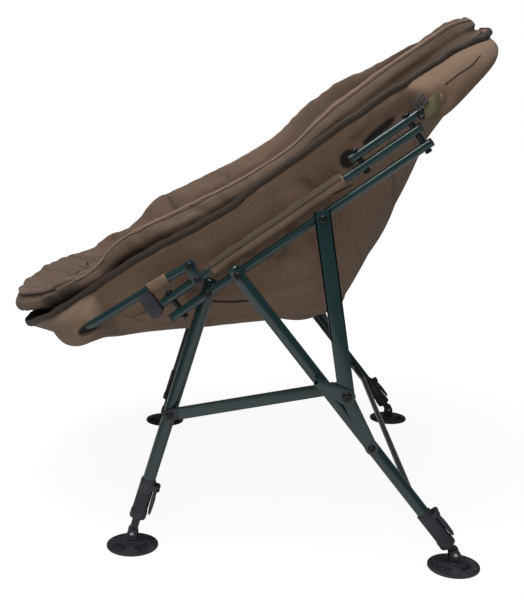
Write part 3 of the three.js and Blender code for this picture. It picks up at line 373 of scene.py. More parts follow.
def mesh_of(name, bodies, mirror=False):
    """A mesh in metres from bodies in millimetres. A body has one finish, or one for each face."""
    points, faces, finishes = merged(bodies)
    points = points / 1000
    if mirror:
        points = points * [-1, 1, 1]
        faces = [face[::-1] for face in faces]
    mesh = bpy.data.meshes.new(name)
    mesh.from_pydata(points.tolist(), [], faces)
    numbers = {material: number for number, material in enumerate(dict.fromkeys(finishes))}
    for material in numbers:
        mesh.materials.append(material)
    mesh.polygons.foreach_set("material_index", [numbers[m] for m in finishes])
    mesh.update()
    return mesh


def round_edges(obj, bevel):
    rounding = obj.modifiers.new("rounding", "BEVEL")
    rounding.width = bevel / 1000
    rounding.segments = 3
    rounding.limit_method = "ANGLE"
    rounding.angle_limit = math.radians(40)
    graph = bpy.context.evaluated_depsgraph_get()
    mesh = bpy.data.meshes.new_from_object(obj.evaluated_get(graph))
    obj.modifiers.clear()
    obj.data = mesh


def shown(mesh, body, stands_for, bevel=0.0, sharp=38.0, slot="frame_steel"):
    obj = placed(mesh.name, mesh)
    if bevel:
        round_edges(obj, bevel)
    obj.data.shade_smooth()
    obj.data.set_sharp_from_angle(angle=math.radians(sharp))
    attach(obj, body)
    if stands_for:
        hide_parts(*stands_for)


def pair(name, bodies, body, extra=False, **look):
    """The left piece and its mirror image. Each stands for the CAD node of its name, unless it
    is extra. body may hold {} for the side's name."""
    for side, mirror in (("left", False), ("right", True)):
        mesh = mesh_of(name + "_dressed_" + side, bodies, mirror)
        shown(mesh, body.format(side), [] if extra else [name + "_" + side], **look)


print("piece makers ready")

# %% [markdown]
# Nearly everything on the frame is a tube, a turned shape or a flat plate, so three body
# makers cover it: a tube along a list of points, a profile turned round an axis, and an outline
# in the side plane given a thickness.

# %% Tubes
def round_angles(sides):
    return np.arange(sides) / sides * 2 * math.pi


def arc(centre, radius, start, sweep, steps):
    """Places on an arc in a plane, both ends included."""
    angles = start + sweep * np.arange(steps + 1) / steps
    return [(centre[0] + radius * math.cos(a), centre[1] + radius * math.sin(a)) for a in angles]


def ring_faces(rows, sides, ends=True):
    """The faces between rings of points, and the two that close the first and last ring."""
    low = np.arange((rows - 1) * sides).reshape(rows - 1, sides)
    after = np.roll(low, -1, 1)
    faces = np.stack([low, after, after + sides, low + sides], -1).reshape(-1, 4).tolist()
    last = (rows - 1) * sides
    return faces + ([list(range(sides))[::-1], list(range(last, last + sides))] if ends else [])


def tube(points, radius, finish, sides=28):
    """A round body along the points. Its rings are carried along without a twist."""
    points = np.asarray(points, float)
    tangents = np.gradient(points, axis=0)
    tangents /= np.linalg.norm(tangents, axis=1)[:, None]
    start = ACROSS if abs(tangents[0][0]) < 0.9 else ALONG
    side = unit(np.cross(tangents[0], start))
    first = []
    for tangent in tangents:
        side = unit(side - tangent * side.dot(tangent))
        first.append(side)
    first = np.array(first)
    second = np.cross(tangents, first)
    radii = np.broadcast_to(np.asarray(radius, float), len(points))
    angles = round_angles(sides)[None, :, None]
    ring = first[:, None] * np.cos(angles) + second[:, None] * np.sin(angles)
    grid = points[:, None] + radii[:, None, None] * ring
    return grid.reshape(-1, 3), ring_faces(len(points), sides), finish


def rod(start, end, radius, finish, sides=28):
    return tube([start, end], radius, finish, sides)


def rounded_route(corners, reach, steps=12):
    points = [corners[0]]
    for before, corner, after, length in zip(corners, corners[1:], corners[2:], reach):
        start = corner + unit(before - corner) * length
        end = corner + unit(after - corner) * length
        for t in np.linspace(0, 1, steps + 1):
            points.append((1 - t) ** 2 * start + 2 * t * (1 - t) * corner + t * t * end)
    points.append(corners[-1])
    return points


def both_sides(half):
    return list(half) + [p * [-1, 1, 1] for p in half[::-1]]

# %% Turned shapes
HEAD_R, HEAD_H, NUT_R, NUT_H, BOLT_R, GAP = 6, 3.4, 5.2, 3.8, 3, 0.4


def turned(profile, origin, axis, finish, sides=28, hexagon=()):
    """Profile points (radius, height). Rings listed in hexagon get six flats."""
    axis = unit(np.asarray(axis, float))
    start = ACROSS if abs(axis[0]) < 0.9 else np.array([0, 0, 1.0])
    first = unit(np.cross(axis, start))
    second = np.cross(axis, first)
    angles = round_angles(sides)
    sixth = math.pi / 3
    flats = math.cos(sixth / 2) / np.cos(angles % sixth - sixth / 2)
    points, rows, faces = [], [], []
    for index, (radius, height) in enumerate(profile):
        middle = origin + axis * height
        if radius == 0:
            rows.append([len(points)])
            points.append(middle)
            continue
        rows.append(list(range(len(points), len(points) + sides)))
        for j, angle in enumerate(angles):
            r = radius * (flats[j] if index in hexagon else 1)
            points.append(middle + r * (first * math.cos(angle) + second * math.sin(angle)))
    for low, high in zip(rows, rows[1:]):
        for j in range(sides):
            k = (j + 1) % sides
            face = [low[j % len(low)], low[k % len(low)], high[k % len(high)], high[j % len(high)]]
            faces.append(list(dict.fromkeys(face)))
    return np.array(points), faces, finish


def domed(origin, axis, radius=HEAD_R, height=HEAD_H):
    """A button head with a hexagon socket."""
    socket = 0.4 * radius
    profile = [(0, 0), (radius, 0), (radius, 0.3 * height)]
    for t in np.linspace(0.15, 1, 7):
        bend = t * math.pi / 2
        edge = radius - (radius - 1.1 * socket) * (1 - math.cos(bend))
        profile.append((edge, (0.3 + 0.7 * math.sin(bend)) * height))
    flat_rings = (len(profile), len(profile) + 1)
    profile += [(socket, height), (socket, 0.45 * height), (0, 0.4 * height)]
    return turned(profile, origin, axis, BOLT_BLACK, 36, flat_rings)


def nut(origin, axis):
    shares = [(0, 0), (0.9, 0), (1, 0.12), (1, 0.88), (0.9, 1), (0, 1)]
    profile = [(NUT_R * r, NUT_H * h) for r, h in shares]
    return turned(profile, origin, axis, BOLT_BLACK, 36, (1, 2, 3, 4))


def spacer(start, end, radius, edge=0.6):
    axis = np.asarray(end, float) - start
    length = np.linalg.norm(axis)
    profile = [(0, 0), (radius - edge, 0), (radius, edge)]
    profile += [(r, length - h) for r, h in profile[::-1]]
    return turned(profile, start, axis, BOLT_BLACK)

# %% Plates and blocks
SIDE_AXES = [np.array([0, 1.0, 0]), np.array([0, 0, 1.0])]


def prism(outline, centre, axes, half_width, finish):
    """An outline in the plane of the first two axes, given a width along the third."""
    third = np.cross(axes[0], axes[1])
    flat = [centre + a * axes[0] + b * axes[1] for a, b in outline]
    points = [p + side * half_width * third for side in (-1, 1) for p in flat]
    return np.array(points), ring_faces(2, len(outline)), finish


def plate(outline, inner_x, outer_x, finish):
    """An outline of (y, z) places between two distances across."""
    return prism(outline, (inner_x + outer_x) / 2 * ACROSS, SIDE_AXES, (outer_x - inner_x) / 2, finish)


def block(centre, axes, halves, finish):
    a, b, half_width = halves
    return prism([(-a, -b), (a, -b), (a, b), (-a, b)], centre, axes, half_width, finish)


def bar_outline(start, end, start_radius, end_radius):
    """A bar with two round ends."""
    heading = math.atan2(end[2] - start[2], end[1] - start[1])
    outline = arc(start[1:], start_radius, heading + math.pi / 2, math.pi, 14)
    return outline + arc(end[1:], end_radius, heading - math.pi / 2, math.pi, 14)


print("body makers ready")

# %% [markdown]
# ## Rails
# Each side has two straight 13 mm tubes, one above the other, held apart by spacers on bolts.
# Every end is closed by a black push-in cap with a rounded face. A lower radius at the
# cap's edge keeps the joint between paint and plastic visible.

# %% Rails and caps
CAP = 4.0


def capped_rail(start_u, length, n):
    start, end = on_rail(RAIL_X, start_u, n), on_rail(RAIL_X, start_u + length, n)
    bodies = [rod(start + CAP * ALONG, end - CAP * ALONG, RAIL_RADIUS, FRAME_PAINT, 36)]
    r = RAIL_RADIUS
    cap = [(0, 0), (r - 0.7, 0), (r - 0.2, 0.5), (r, 1.2), (r, CAP - 1.4), (r - 0.9, CAP - 0.3), (0, CAP)]
    bodies.append(turned(cap, end - CAP * ALONG, ALONG, LOCK_PLASTIC, 36))
    bodies.append(turned(cap, start + CAP * ALONG, -ALONG, LOCK_PLASTIC, 36))
    return bodies


SPACING = 25.7
pair("rail_lower", capped_rail(0, 455.7, 0), "seat_frame", sharp=30)
pair("rail_upper", capped_rail(0.6, 453.9, SPACING), "seat_frame", sharp=30)
print("rails at n 0 and", SPACING)

# %% [markdown]
# ## Hoops
# The back hoop runs from the rails up and over behind the top of the seat. The front hoop is
# hinged to the rails and its bar is sewn into the front of the seat. Both are bent from
# the same tube, so each is one sweep along a route with rounded corners.

# %% Hoops and cross tube
BACK_N, TOP_U, TOP_N = 44, 618, 58
back_half = rounded_route(
    [
        on_rail(RAIL_X, 344, BACK_N),
        on_rail(RAIL_X, 492, BACK_N),
        on_rail(296, 566, 50),
        on_rail(215, TOP_U, TOP_N),
        on_rail(0, TOP_U, TOP_N),
    ],
    [5 * RAIL_RADIUS, 6 * RAIL_RADIUS, 6 * RAIL_RADIUS],
)[:-1]
HINGE_U, HINGE_N = 68.7, 48.6
ARM_U, ARM_N, BEND_U, BEND_X = 30, 52, -109, 335
BAR_U, BAR_N = HINGE_U - 225, 57
front_half = rounded_route(
    [
        on_rail(RAIL_X, HINGE_U + 8, HINGE_N),
        on_rail(RAIL_X, ARM_U, ARM_N),
        on_rail(BEND_X, BEND_U, BAR_N),
        on_rail(262, BAR_U, BAR_N),
        on_rail(0, BAR_U, BAR_N),
    ],
    [3 * RAIL_RADIUS, 4 * RAIL_RADIUS, 6 * RAIL_RADIUS],
)[:-1]


def hoop(name, half, body):
    route = both_sides(half)
    bodies = [tube(route, RAIL_RADIUS, FRAME_PAINT, 36)]
    r = RAIL_RADIUS
    for end, inner in ((route[0], route[1]), (route[-1], route[-2])):
        cap = [(0, -1), (r + 0.1, -1), (r + 0.1, -0.2), (r - 1.2, 0.2), (0, 0.3)]
        bodies.append(turned(cap, end, end - inner, LOCK_PLASTIC, 36))
    shown(mesh_of(name + "_dressed", bodies), body, [name], sharp=30)


hoop("back_hoop", back_half, "seat_frame")
hoop("front_hoop", front_half, "front_hoop")

REAR = {"x": 364.5, "radius": 9.75, "down": sideways(-50.9), "pivot_u": 120, "foot": 540.05, "collar": 16}
FRONT = {"x": 314, "radius": 10, "down": sideways(-106), "pivot_u": 67, "foot": 403.5, "collar": 25.5}
for spec in (REAR, FRONT):
    spec["pivot"] = on_rail(RAIL_X, spec["pivot_u"], 0)
cross_start = (REAR["pivot"] + 410 * REAR["down"]) * [0, 1, 1]
cross_run = (REAR["pivot"] + 434 * REAR["down"]) * [0, 1, 1]
cross_x = REAR["x"] - REAR["radius"] - 0.4
cross_half = rounded_route(
    [
        cross_start + cross_x * ACROSS,
        cross_start + (cross_x - 9) * ACROSS,
        cross_run + 322 * ACROSS,
        cross_run,
    ],
    [7, 14],
    6,
)[:-1]
cross_mesh = mesh_of("leg_cross_tube_dressed", [tube(both_sides(cross_half), 5, FRAME_PAINT, 32)])
shown(cross_mesh, "rear_legs", ["leg_cross_tube"], sharp=30)
print("hoops and cross tube swept", len(back_half), len(front_half), len(cross_half))

# %% [markdown]
# ## Bolts
# Each pivot is a button-head bolt with a hexagon socket, a nut on its inner end and a round
# spacer in each gap. They are turned shapes, so they catch one bright glint each, as in
# the photograph.

# %% Bolts of the rails and pivots
def at_x(point, x):
    return np.array([x, point[1], point[2]])


def bolt(place, axis, low, high, spacers):
    """A bolt with head, nut and spacers. place gives the point at a distance along its axis."""
    bodies = [rod(place(low - 2), place(high + 0.8), BOLT_R, BOLT_BLACK, 20)]
    bodies += [domed(place(high), axis), nut(place(low - NUT_H), axis)]
    return bodies + [spacer(place(start + GAP), place(end - GAP), r) for start, end, r in spacers]


def rail_bolt(u, top, bottom, gaps):
    return bolt(lambda n: on_rail(RAIL_X, u, n), SQUARE, bottom, top, [(*gap, 4.6) for gap in gaps])


def pivot_bolt(centre, outer, inner, *spacers):
    return bolt(lambda x: at_x(centre, x), ACROSS, inner, outer, spacers)


rail_low, rail_top = -RAIL_RADIUS - GAP, SPACING + RAIL_RADIUS + GAP
hoop_low, hoop_top = SPACING - RAIL_RADIUS - GAP, BACK_N + RAIL_RADIUS + GAP
lower_gap = (RAIL_RADIUS, SPACING - RAIL_RADIUS)
upper_gap = (SPACING + RAIL_RADIUS, BACK_N - RAIL_RADIUS)
black = {"slot": "black_hardware", "sharp": 30}
pair("rail_bolt_front", rail_bolt(20, rail_top, rail_low, [lower_gap]), "seat_frame", **black)
pair("rail_bolt_rear", rail_bolt(443.4, hoop_top, rail_low, [lower_gap, upper_gap]), "seat_frame", **black)
pair("hoop_bolt", rail_bolt(356, hoop_top, hoop_low, [upper_gap]), "seat_frame", **black)

RAIL_OUT, RAIL_IN = RAIL_X + RAIL_RADIUS, RAIL_X - RAIL_RADIUS
REAR_OUT = REAR["x"] + REAR["radius"]
FRONT_OUT, FRONT_IN = FRONT["x"] + FRONT["radius"], FRONT["x"] - FRONT["radius"]
STRUT_OUT, STRUT_WEB = 384, 2.8
NUT_X = RAIL_IN - GAP
strut_top = on_rail(RAIL_X, 265.5, 0)
front_pivot = pivot_bolt(FRONT["pivot"], RAIL_OUT + GAP, FRONT_IN - GAP, (FRONT_OUT, RAIL_IN, 7))
pair("front_pivot_bolt", front_pivot, "seat_frame", **black)
pair("rear_pivot_bolt", pivot_bolt(REAR["pivot"], REAR_OUT + GAP, NUT_X), "seat_frame", **black)
strut_pivot = pivot_bolt(strut_top, STRUT_OUT + GAP, NUT_X, (RAIL_OUT, STRUT_OUT - STRUT_WEB, 5))
pair("strut_pivot_bolt", strut_pivot, "seat_frame", **black)
print("six bolts a side")

# %% [markdown]
# The front hoop turns on a painted plate that stands outside the tubes, fixed to the upper rail
# by a rivet. The saddle under the hoop is a square black block with its lower corners
# cut off, as the photograph shows.

# %% Hinge plate, hoop bolt and saddle
hinge = on_rail(RAIL_X, HINGE_U, HINGE_N)
plate_low = on_rail(RAIL_X, 67, SPACING)
plate_in, plate_out = RAIL_OUT + GAP, RAIL_OUT + GAP + 3
hinge_bodies = [plate(bar_outline(plate_low, hinge, 8, 8), plate_in, plate_out, FRAME_PAINT)]
hinge_bodies += pivot_bolt(plate_low, plate_out, NUT_X)
pair("hinge_plate", hinge_bodies, "seat_frame", bevel=0.5)
pair("hoop_pivot_bolt", pivot_bolt(hinge, plate_out + GAP, NUT_X), "seat_frame", **black)

SADDLE_HALF, SADDLE_LOW, SADDLE_CUT = 10, 13, 4
saddle_top = ARM_N + 40 * (BAR_N - ARM_N) / (ARM_U - BEND_U)
saddle_outline = [
    (-SADDLE_HALF, SADDLE_LOW + SADDLE_CUT),
    (-SADDLE_HALF + SADDLE_CUT, SADDLE_LOW),
    (SADDLE_HALF - SADDLE_CUT, SADDLE_LOW),
    (SADDLE_HALF, SADDLE_LOW + SADDLE_CUT),
    (SADDLE_HALF, saddle_top),
    (-SADDLE_HALF, saddle_top),
]
saddle = prism(saddle_outline, on_rail(RAIL_X, -10, 0), [ALONG, SQUARE], SADDLE_HALF, LOCK_PLASTIC)
pair("saddle_block", [saddle], "front_hoop", bevel=1.0, slot="black_plastic")
print("hinge and saddle at", hinge.round(1))

# %% [markdown]
# ## Outer legs
# The legs are 20 mm tubes with a rounded cap on top. The tube ends inside
# the lock's sleeve, so only its straight run and its cap show.

# %% Legs
def on_leg(spec, distance):
    return at_x(spec["pivot"], spec["x"]) + distance * spec["down"]


def outer_leg(spec, top_past):
    top, bottom = on_leg(spec, -top_past), on_leg(spec, spec["foot"] - spec["collar"] - 14)
    r = spec["radius"]
    cap = [(0, -1), (r, -1), (r, 0.6), (0.96 * r, 2.2), (0.84 * r, 3.7), (0.55 * r, 4.7), (0, 5)]
    return [rod(top, bottom, r, FRAME_PAINT, 44), turned(cap, top, -spec["down"], FRAME_PAINT, 44)]


pair("rear_leg", outer_leg(REAR, 10), "rear_legs", sharp=30)
pair("front_leg", outer_leg(FRONT, 12), "front_leg_{}", sharp=30)
print("legs", REAR["foot"], FRONT["foot"], "mm from pivot to foot pin")

# %% [markdown]
# ## Leg locks
# Each leg ends in a black boot: a sleeve round the tube, a thicker collar, two ears, and a
# lever with grip ribs between them. The sleeve is turned with soft shoulders and shallow grip
# rings, and the lever is an outline with a thickness, slightly bowed away from the leg.

# %% Locks
SLEEVE_R, EAR_R, EAR_HEIGHT, LEVER = 11.9, 4.5, 55, 44
EAR_OUT = SLEEVE_R + EAR_R


def lock_places(spec):
    bottom = on_leg(spec, spec["foot"] - spec["collar"])
    up = -spec["down"]
    back = unit(np.cross(up, ACROSS))
    return bottom, up, back if back[1] > 0 else -back


def lock_sleeve(spec):
    bottom, up, back = lock_places(spec)
    r, bore = SLEEVE_R, spec["radius"] + 0.4
    profile = [(6.7, 2), (6.7, 0), (11.6, 0), (12.6, 0.6), (13, 1.8), (13, 11.6), (12.7, 13), (r, 14.2)]
    for height in np.arange(18, 44, 4.0):
        profile += [(r, height), (r - 0.45, height + 0.6), (r - 0.45, height + 1.4), (r, height + 2)]
    profile += [(r, 63.2), (11.5, 65.2), (10.8, 66), (bore, 66), (bore, 62)]
    ear = arc((EAR_OUT, EAR_HEIGHT), EAR_R, -math.pi / 2, math.pi, 12)
    ear += [(6, EAR_HEIGHT + EAR_R), (6, EAR_HEIGHT - EAR_R)]
    bodies = [turned(profile, bottom, up, LOCK_PLASTIC, 44)]
    for side in (-1, 1):
        bodies.append(prism(ear, bottom + side * 7.7 * ACROSS, [back, up], 1.3, LOCK_PLASTIC))
    return bodies


def lock_lever(spec):
    bottom, up, back = lock_places(spec)
    inside = 12.3 - EAR_OUT

    def face(t):
        """How far out the lever's bowed face stands, at a share of its length."""
        return inside + 5 + 1.5 * math.sin(t * math.pi / 2) - 1.5 * t * t

    outline = [(inside, 0)] + arc((0, 0), 4.1, math.pi, -math.pi, 12)
    outline += [(face(t), -LEVER * t) for t in np.linspace(0.15, 1, 8)]
    outline += [(inside + 2.3, -LEVER), (inside + 0.6, -36), (inside, -22)]
    centre = bottom + EAR_HEIGHT * up + EAR_OUT * back
    bodies = [prism(outline, centre, [back, up], 6, LOCK_PLASTIC)]
    bodies.append(rod(centre - 9 * ACROSS, centre + 9 * ACROSS, 1.6, PIN_METAL, 16))
    for i in range(6):
        drop = 41 - 4.4 * i
        rib = centre + face(drop / LEVER) * back - drop * up
        bodies.append(block(rib, [ACROSS, up], (5.6, 0.9, 0.8), LOCK_PLASTIC))
    return bodies


for end, spec, carrier in (("rear", REAR, "rear_legs"), ("front", FRONT, "front_leg_{}")):
    plastic = {"slot": "black_plastic", "bevel": 0.4}
    pair(end + "_lock_sleeve", lock_sleeve(spec), carrier, **plastic)
    pair(end + "_lock_lever", lock_lever(spec), end + "_lock_lever_{}", **plastic)
print("four locks")

# %% [markdown]
# ## Inner legs and mud feet
# The inner leg slides in the outer one and ends in a round eye. The mud foot is a wide plastic
# disc on a swivel pin, with four scooped pockets and a small rib in each, which grip soft
# ground. Its top is a height map over rings and spokes: the slope from crown to
# rim, less a soft-edged hollow for each pocket.

# %% Feet
FOOT_RADIUS, FOOT_DROP, CROWN, EDGE, POCKET_FLOOR = 40, 24, 11, 4.5, 3


def inner_leg(spec):
    pin = on_leg(spec, spec["foot"])
    ball = arc((0, 0), 6.2, -math.pi / 2, math.pi, 16)
    ball[0], ball[-1] = (0, -6.2), (0, 6.2)
    shaft = rod(on_leg(spec, spec["foot"] - 195), pin, 6.25, LOCK_PLASTIC, 36)
    return [shaft, turned(ball, pin, ACROSS, LOCK_PLASTIC, 32)]


def smooth_step(low, high, value):
    t = np.clip((value - low) / (high - low), 0, 1)
    return t * t * (3 - 2 * t)


def foot_top(radius, angle):
    slope = EDGE + (CROWN - EDGE) * (1 - smooth_step(17, 39, radius)) ** 0.8
    quarter = (angle % (math.pi / 2)) - math.pi / 4
    beside = np.abs(radius * np.sin(quarter))
    outward = radius * np.cos(quarter)
    pocket = smooth_step(13.5, 11.5, beside)
    pocket = pocket * smooth_step(20.5, 22.5, outward) * smooth_step(36.5, 34.5, outward)
    rib = 1.2 * smooth_step(1.6, 0.8, beside) * smooth_step(20, 24, outward)
    return slope * (1 - pocket) + (POCKET_FLOOR + rib) * pocket


def foot_disc(floor):
    r = FOOT_RADIUS
    spokes = 144
    angles = round_angles(spokes)
    radii = [10, 17, *np.linspace(19, 37.5, 34), r - 1.2, r - 0.4, r]
    heights = [foot_top(radius, angles) for radius in radii]
    heights[0] = np.full(spokes, CROWN)
    heights[-2] = heights[-2] - 0.25
    heights[-1] = heights[-1] - 0.8
    radii += [r, r - 0.8, 36, 34, 10]
    heights += [np.full(spokes, height) for height in (1.2, 0.2, 0, 1.2, 1.2)]
    rings = [np.stack([r * np.cos(angles), r * np.sin(angles), h], -1) for r, h in zip(radii, heights)]
    faces = [face[:1] + face[:0:-1] for face in ring_faces(len(rings), spokes)]
    return np.concatenate(rings) + floor, faces, LOCK_PLASTIC


def mud_foot(spec):
    pin = on_leg(spec, spec["foot"])
    floor = pin - [0, 0, FOOT_DROP]
    crown = [(0, 10), (15, 10), (14.6, 11.4), (13, 12.2), (0, 12.2)]
    bodies = [foot_disc(floor), turned(crown, floor, np.array([0, 0, 1.0]), LOCK_PLASTIC, 40)]
    ear = [(-8, -15)] + arc((0, 0), 8, math.pi, -math.pi, 14) + [(8, -15)]
    head = [(0, 0), (3.4, 0), (3.4, 0.5), (2.6, 1.1), (0, 1.2)]
    for side in (-1, 1):
        bodies.append(prism(ear, pin + side * 9 * ACROSS, SIDE_AXES, 2, LOCK_PLASTIC))
        bodies.append(turned(head, pin + side * 11 * ACROSS, side * ACROSS, PIN_METAL, 24))
    bodies.append(rod(pin - 11.2 * ACROSS, pin + 11.2 * ACROSS, 2.2, PIN_METAL, 16))
    return bodies


for end, spec in (("rear", REAR), ("front", FRONT)):
    plastic = {"slot": "black_plastic"}
    pair(end + "_inner_leg", inner_leg(spec), end + "_inner_leg_{}", sharp=30, **plastic)
    pair(end + "_foot", mud_foot(spec), end + "_foot_{}", bevel=0.35, sharp=50, **plastic)
print("four feet of", 2 * FOOT_RADIUS, "mm")

# %% [markdown]
# ## Struts, links and latch
# A pressed strut comes down from the rail to the knee. Its upper part has folded flanges, and
# its lower end is a flat round eye. A wide flat link goes on from the knee to the rear
# leg, a square bar ties the knee to the front leg, and a small hooked plate catches the rear leg.

# %% Struts
LINK_IN, LINK_OUT, LATCH_IN, LATCH_OUT, BAR_IN, BAR_OUT = 377.4, 380.6, 385, 387.6, 325, 335.5
STRUT_HALF, STRUT_PAST, FLANGE_X = 11.8, -13, 376.7
knee = part_point(0, *KNEE)
strut_line = knee - at_x(strut_top, 0)
down_strut, strut_length = unit(strut_line), np.linalg.norm(strut_line)
beside_strut = np.cross(ACROSS, down_strut)


def strut():
    h, flange_end = STRUT_HALF, strut_length - 112
    outline = [(-h, STRUT_PAST), (h, STRUT_PAST), (h, strut_length)]
    outline += arc((0, strut_length), 12, 0, math.pi, 16) + [(-h, strut_length)]
    wall = [(FLANGE_X, STRUT_PAST), (STRUT_OUT, STRUT_PAST)]
    wall += [(STRUT_OUT, flange_end + 26), (FLANGE_X, flange_end)]
    start = at_x(strut_top, STRUT_OUT - STRUT_WEB / 2)
    bodies = [prism(outline, start, [beside_strut, down_strut], STRUT_WEB / 2, FRAME_PAINT)]
    for side in (-1, 1):
        centre = at_x(strut_top, 0) + side * (h - 1) * beside_strut
        bodies.append(prism(wall, centre, [ACROSS, down_strut], 1, FRAME_PAINT))
    return bodies


pair("strut", strut(), "strut_{}", bevel=0.6)
knee_head = LATCH_OUT + GAP
knee_bodies = [
    rod(at_x(knee, BAR_OUT + 0.9), at_x(knee, knee_head + 0.8), 4, BOLT_BLACK, 24),
    domed(at_x(knee, knee_head), ACROSS, 8, 3.6),
    spacer(at_x(knee, BAR_OUT + 2 * GAP + NUT_H), at_x(knee, LINK_IN - GAP), 6),
]
pair("knee_bolt", knee_bodies, "strut_{}", **black)

# %% Links and latch
strut_pin = REAR["pivot"] + 323.5 * REAR["down"]
link_pin = FRONT["pivot"] + 199 * FRONT["down"]
lower_bodies = [
    plate(bar_outline(knee, strut_pin, 9.5, 9.5), LINK_IN, LINK_OUT, FRAME_PAINT),
    rod(at_x(strut_pin, REAR_OUT + GAP), at_x(strut_pin, LINK_OUT - 0.6), 6, BOLT_BLACK),
    domed(at_x(strut_pin, LINK_OUT), ACROSS),
]
pair("lower_link", lower_bodies, "lower_link_{}", bevel=0.5)

link_half = np.linalg.norm(knee - at_x(link_pin, 0)) / 2
link_axes = [ACROSS, unit(knee - at_x(link_pin, 0))]
link_centre = at_x((knee + link_pin) / 2, (BAR_IN + BAR_OUT) / 2)
link_bodies = [block(link_centre, link_axes, (5.25, link_half - 14, 8.5), FRAME_PAINT)]
for end in (-1, 1):
    fitting = link_centre + end * (link_half - 3) * link_axes[1]
    link_bodies.append(block(fitting, link_axes, (4.9, 13.6, 7.7), LOCK_PLASTIC))
link_bodies += [
    rod(at_x(link_pin, FRONT_IN - 2), at_x(link_pin, BAR_OUT), BOLT_R, BOLT_BLACK, 20),
    domed(at_x(link_pin, BAR_OUT), ACROSS),
    nut(at_x(link_pin, FRONT_IN - GAP - NUT_H), ACROSS),
    nut(at_x(knee, BAR_IN - NUT_H), ACROSS),
]
pair("front_link", link_bodies, "front_link_{}", bevel=0.6)

latch_tip = knee + [0, -42.3, 19.6]
latch_out = unit(latch_tip - knee)
lip = at_x(latch_tip + 3.5 * latch_out, LATCH_OUT - 3.2)
latch_bodies = [
    plate(bar_outline(knee, latch_tip, 12.5, 7), LATCH_IN, LATCH_OUT, FRAME_PAINT),
    block(lip, [ACROSS, latch_out], (3.2, 2.5, 3.5), FRAME_PAINT),
]
pair("leg_latch", latch_bodies, "leg_latch_{}", bevel=0.5)
print("strut length", round(strut_length, 1))

# %% [markdown]
# ## The bucket's form
# The seat is a fabric bucket hung from the two hoops. Seen square to the rails its rim is a
# rounded rectangle, a superellipse, and the cloth drops from the rim steeply and then sags
# towards the middle. The CAD source uses the same formulas, so cloth and solid agree. A place
# is given by an angle round the rim and a share, from 0 in the middle to 1 at the rim.

# %% Bucket surface
SEAT_HALF_WIDTH, SEAT_CENTRE_U, SEAT_HALF_LENGTH, SEAT_CORNER = 330, 211, 457, 3.3
RIM_N, FRONT_LIFT, BACK_DROP = 90, 16, 8
EDGE_DEPTH, FRONT_DROP, SAG_DEPTH, SAG_U, SAG_REACH, SAG_ROUND = 116, 5, 156, 200, 280, 26
WALL_POWER, BACK_POWER, FRONT_POWER = 5, 3.2, 7


def outline_at(angle, share):
    c, s = np.cos(angle), np.sin(angle)
    reach = share / (np.abs(c) ** SEAT_CORNER + np.abs(s) ** SEAT_CORNER) ** (1 / SEAT_CORNER)
    return SEAT_HALF_WIDTH * c * reach, SEAT_CENTRE_U + SEAT_HALF_LENGTH * s * reach


def rim_at(u):
    share = (SEAT_CENTRE_U - u) / SEAT_HALF_LENGTH
    return RIM_N + np.where(share > 0, FRONT_LIFT, -BACK_DROP) * share**2


def bowl_point(angle, share):
    angle, share = np.broadcast_arrays(np.asarray(angle, float), share)
    x, u = outline_at(angle, share)
    slope = 1 - np.hypot(u - SAG_U, SAG_ROUND) / SAG_REACH
    sag = (slope + np.hypot(slope, SAG_ROUND / SAG_REACH)) / 2
    to_front = np.maximum(0, (SEAT_CENTRE_U - u) / SEAT_HALF_LENGTH)
    to_back = np.maximum(0, (u - SEAT_CENTRE_U) / SEAT_HALF_LENGTH)
    power = WALL_POWER + (BACK_POWER - WALL_POWER) * to_back + (FRONT_POWER - WALL_POWER) * to_front
    depth = (EDGE_DEPTH + FRONT_DROP * to_front**2 + SAG_DEPTH * sag) * (1 - share**power)
    return np.stack([x, u, rim_at(u) - depth], -1)


def bowl_normal(angle, share):
    angle, share = np.broadcast_arrays(np.asarray(angle, float), share)
    step = 1e-3
    inward = np.where(share > 0.5, -1, 1)
    p = bowl_point(angle, share)
    radial = (bowl_point(angle, share + inward * step) - p) * inward[..., None]
    normal = np.cross(radial, bowl_point(angle + step, share) - p)
    length = np.linalg.norm(normal, axis=-1, keepdims=True)
    return np.where(share[..., None] < 0.02, np.array([0, 0, 1.0]), normal / np.maximum(length, 1e-12))


def offset_point(angle, share, distance):
    return bowl_point(angle, share) + bowl_normal(angle, share) * np.asarray(distance)[..., None]


def even_angles(count):
    """Angles that step evenly along the rim."""
    dense = np.linspace(0, 2 * math.pi, 4001)
    x, u = outline_at(dense, 1.0)
    run = np.concatenate([[0], np.cumsum(np.hypot(np.diff(x), np.diff(u)))])
    return np.interp(np.arange(count) / count * run[-1], run, dense), run[-1]


RIM_LENGTH = even_angles(8)[1]
print("rim length in mm", round(RIM_LENGTH))

# %% [markdown]
# ## Cloth grids
# Every soft piece starts as a grid of rows that run round the bucket. The helper closes the
# grid with a point at each end, stores flat cloth coordinates on the points, and turns rail
# coordinates into the part's own. Smooth random waves come from Blender's noise, which gives
# the same values on each run.

# %% Grid helpers
def to_part(points):
    return on_rail(points[..., 0], points[..., 1], points[..., 2])


def flat_of(grid):
    """Distance round each row and distance along each column, in metres."""
    step = np.linalg.norm(np.diff(grid, axis=1, prepend=grid[:, :1]), axis=-1)
    rise = np.linalg.norm(np.diff(grid, axis=0, prepend=grid[:1]), axis=-1)
    flat = np.zeros(grid.shape)
    flat[..., 0] = np.cumsum(step, 1)
    flat[..., 1] = np.cumsum(rise, 0)
    return flat / 1000


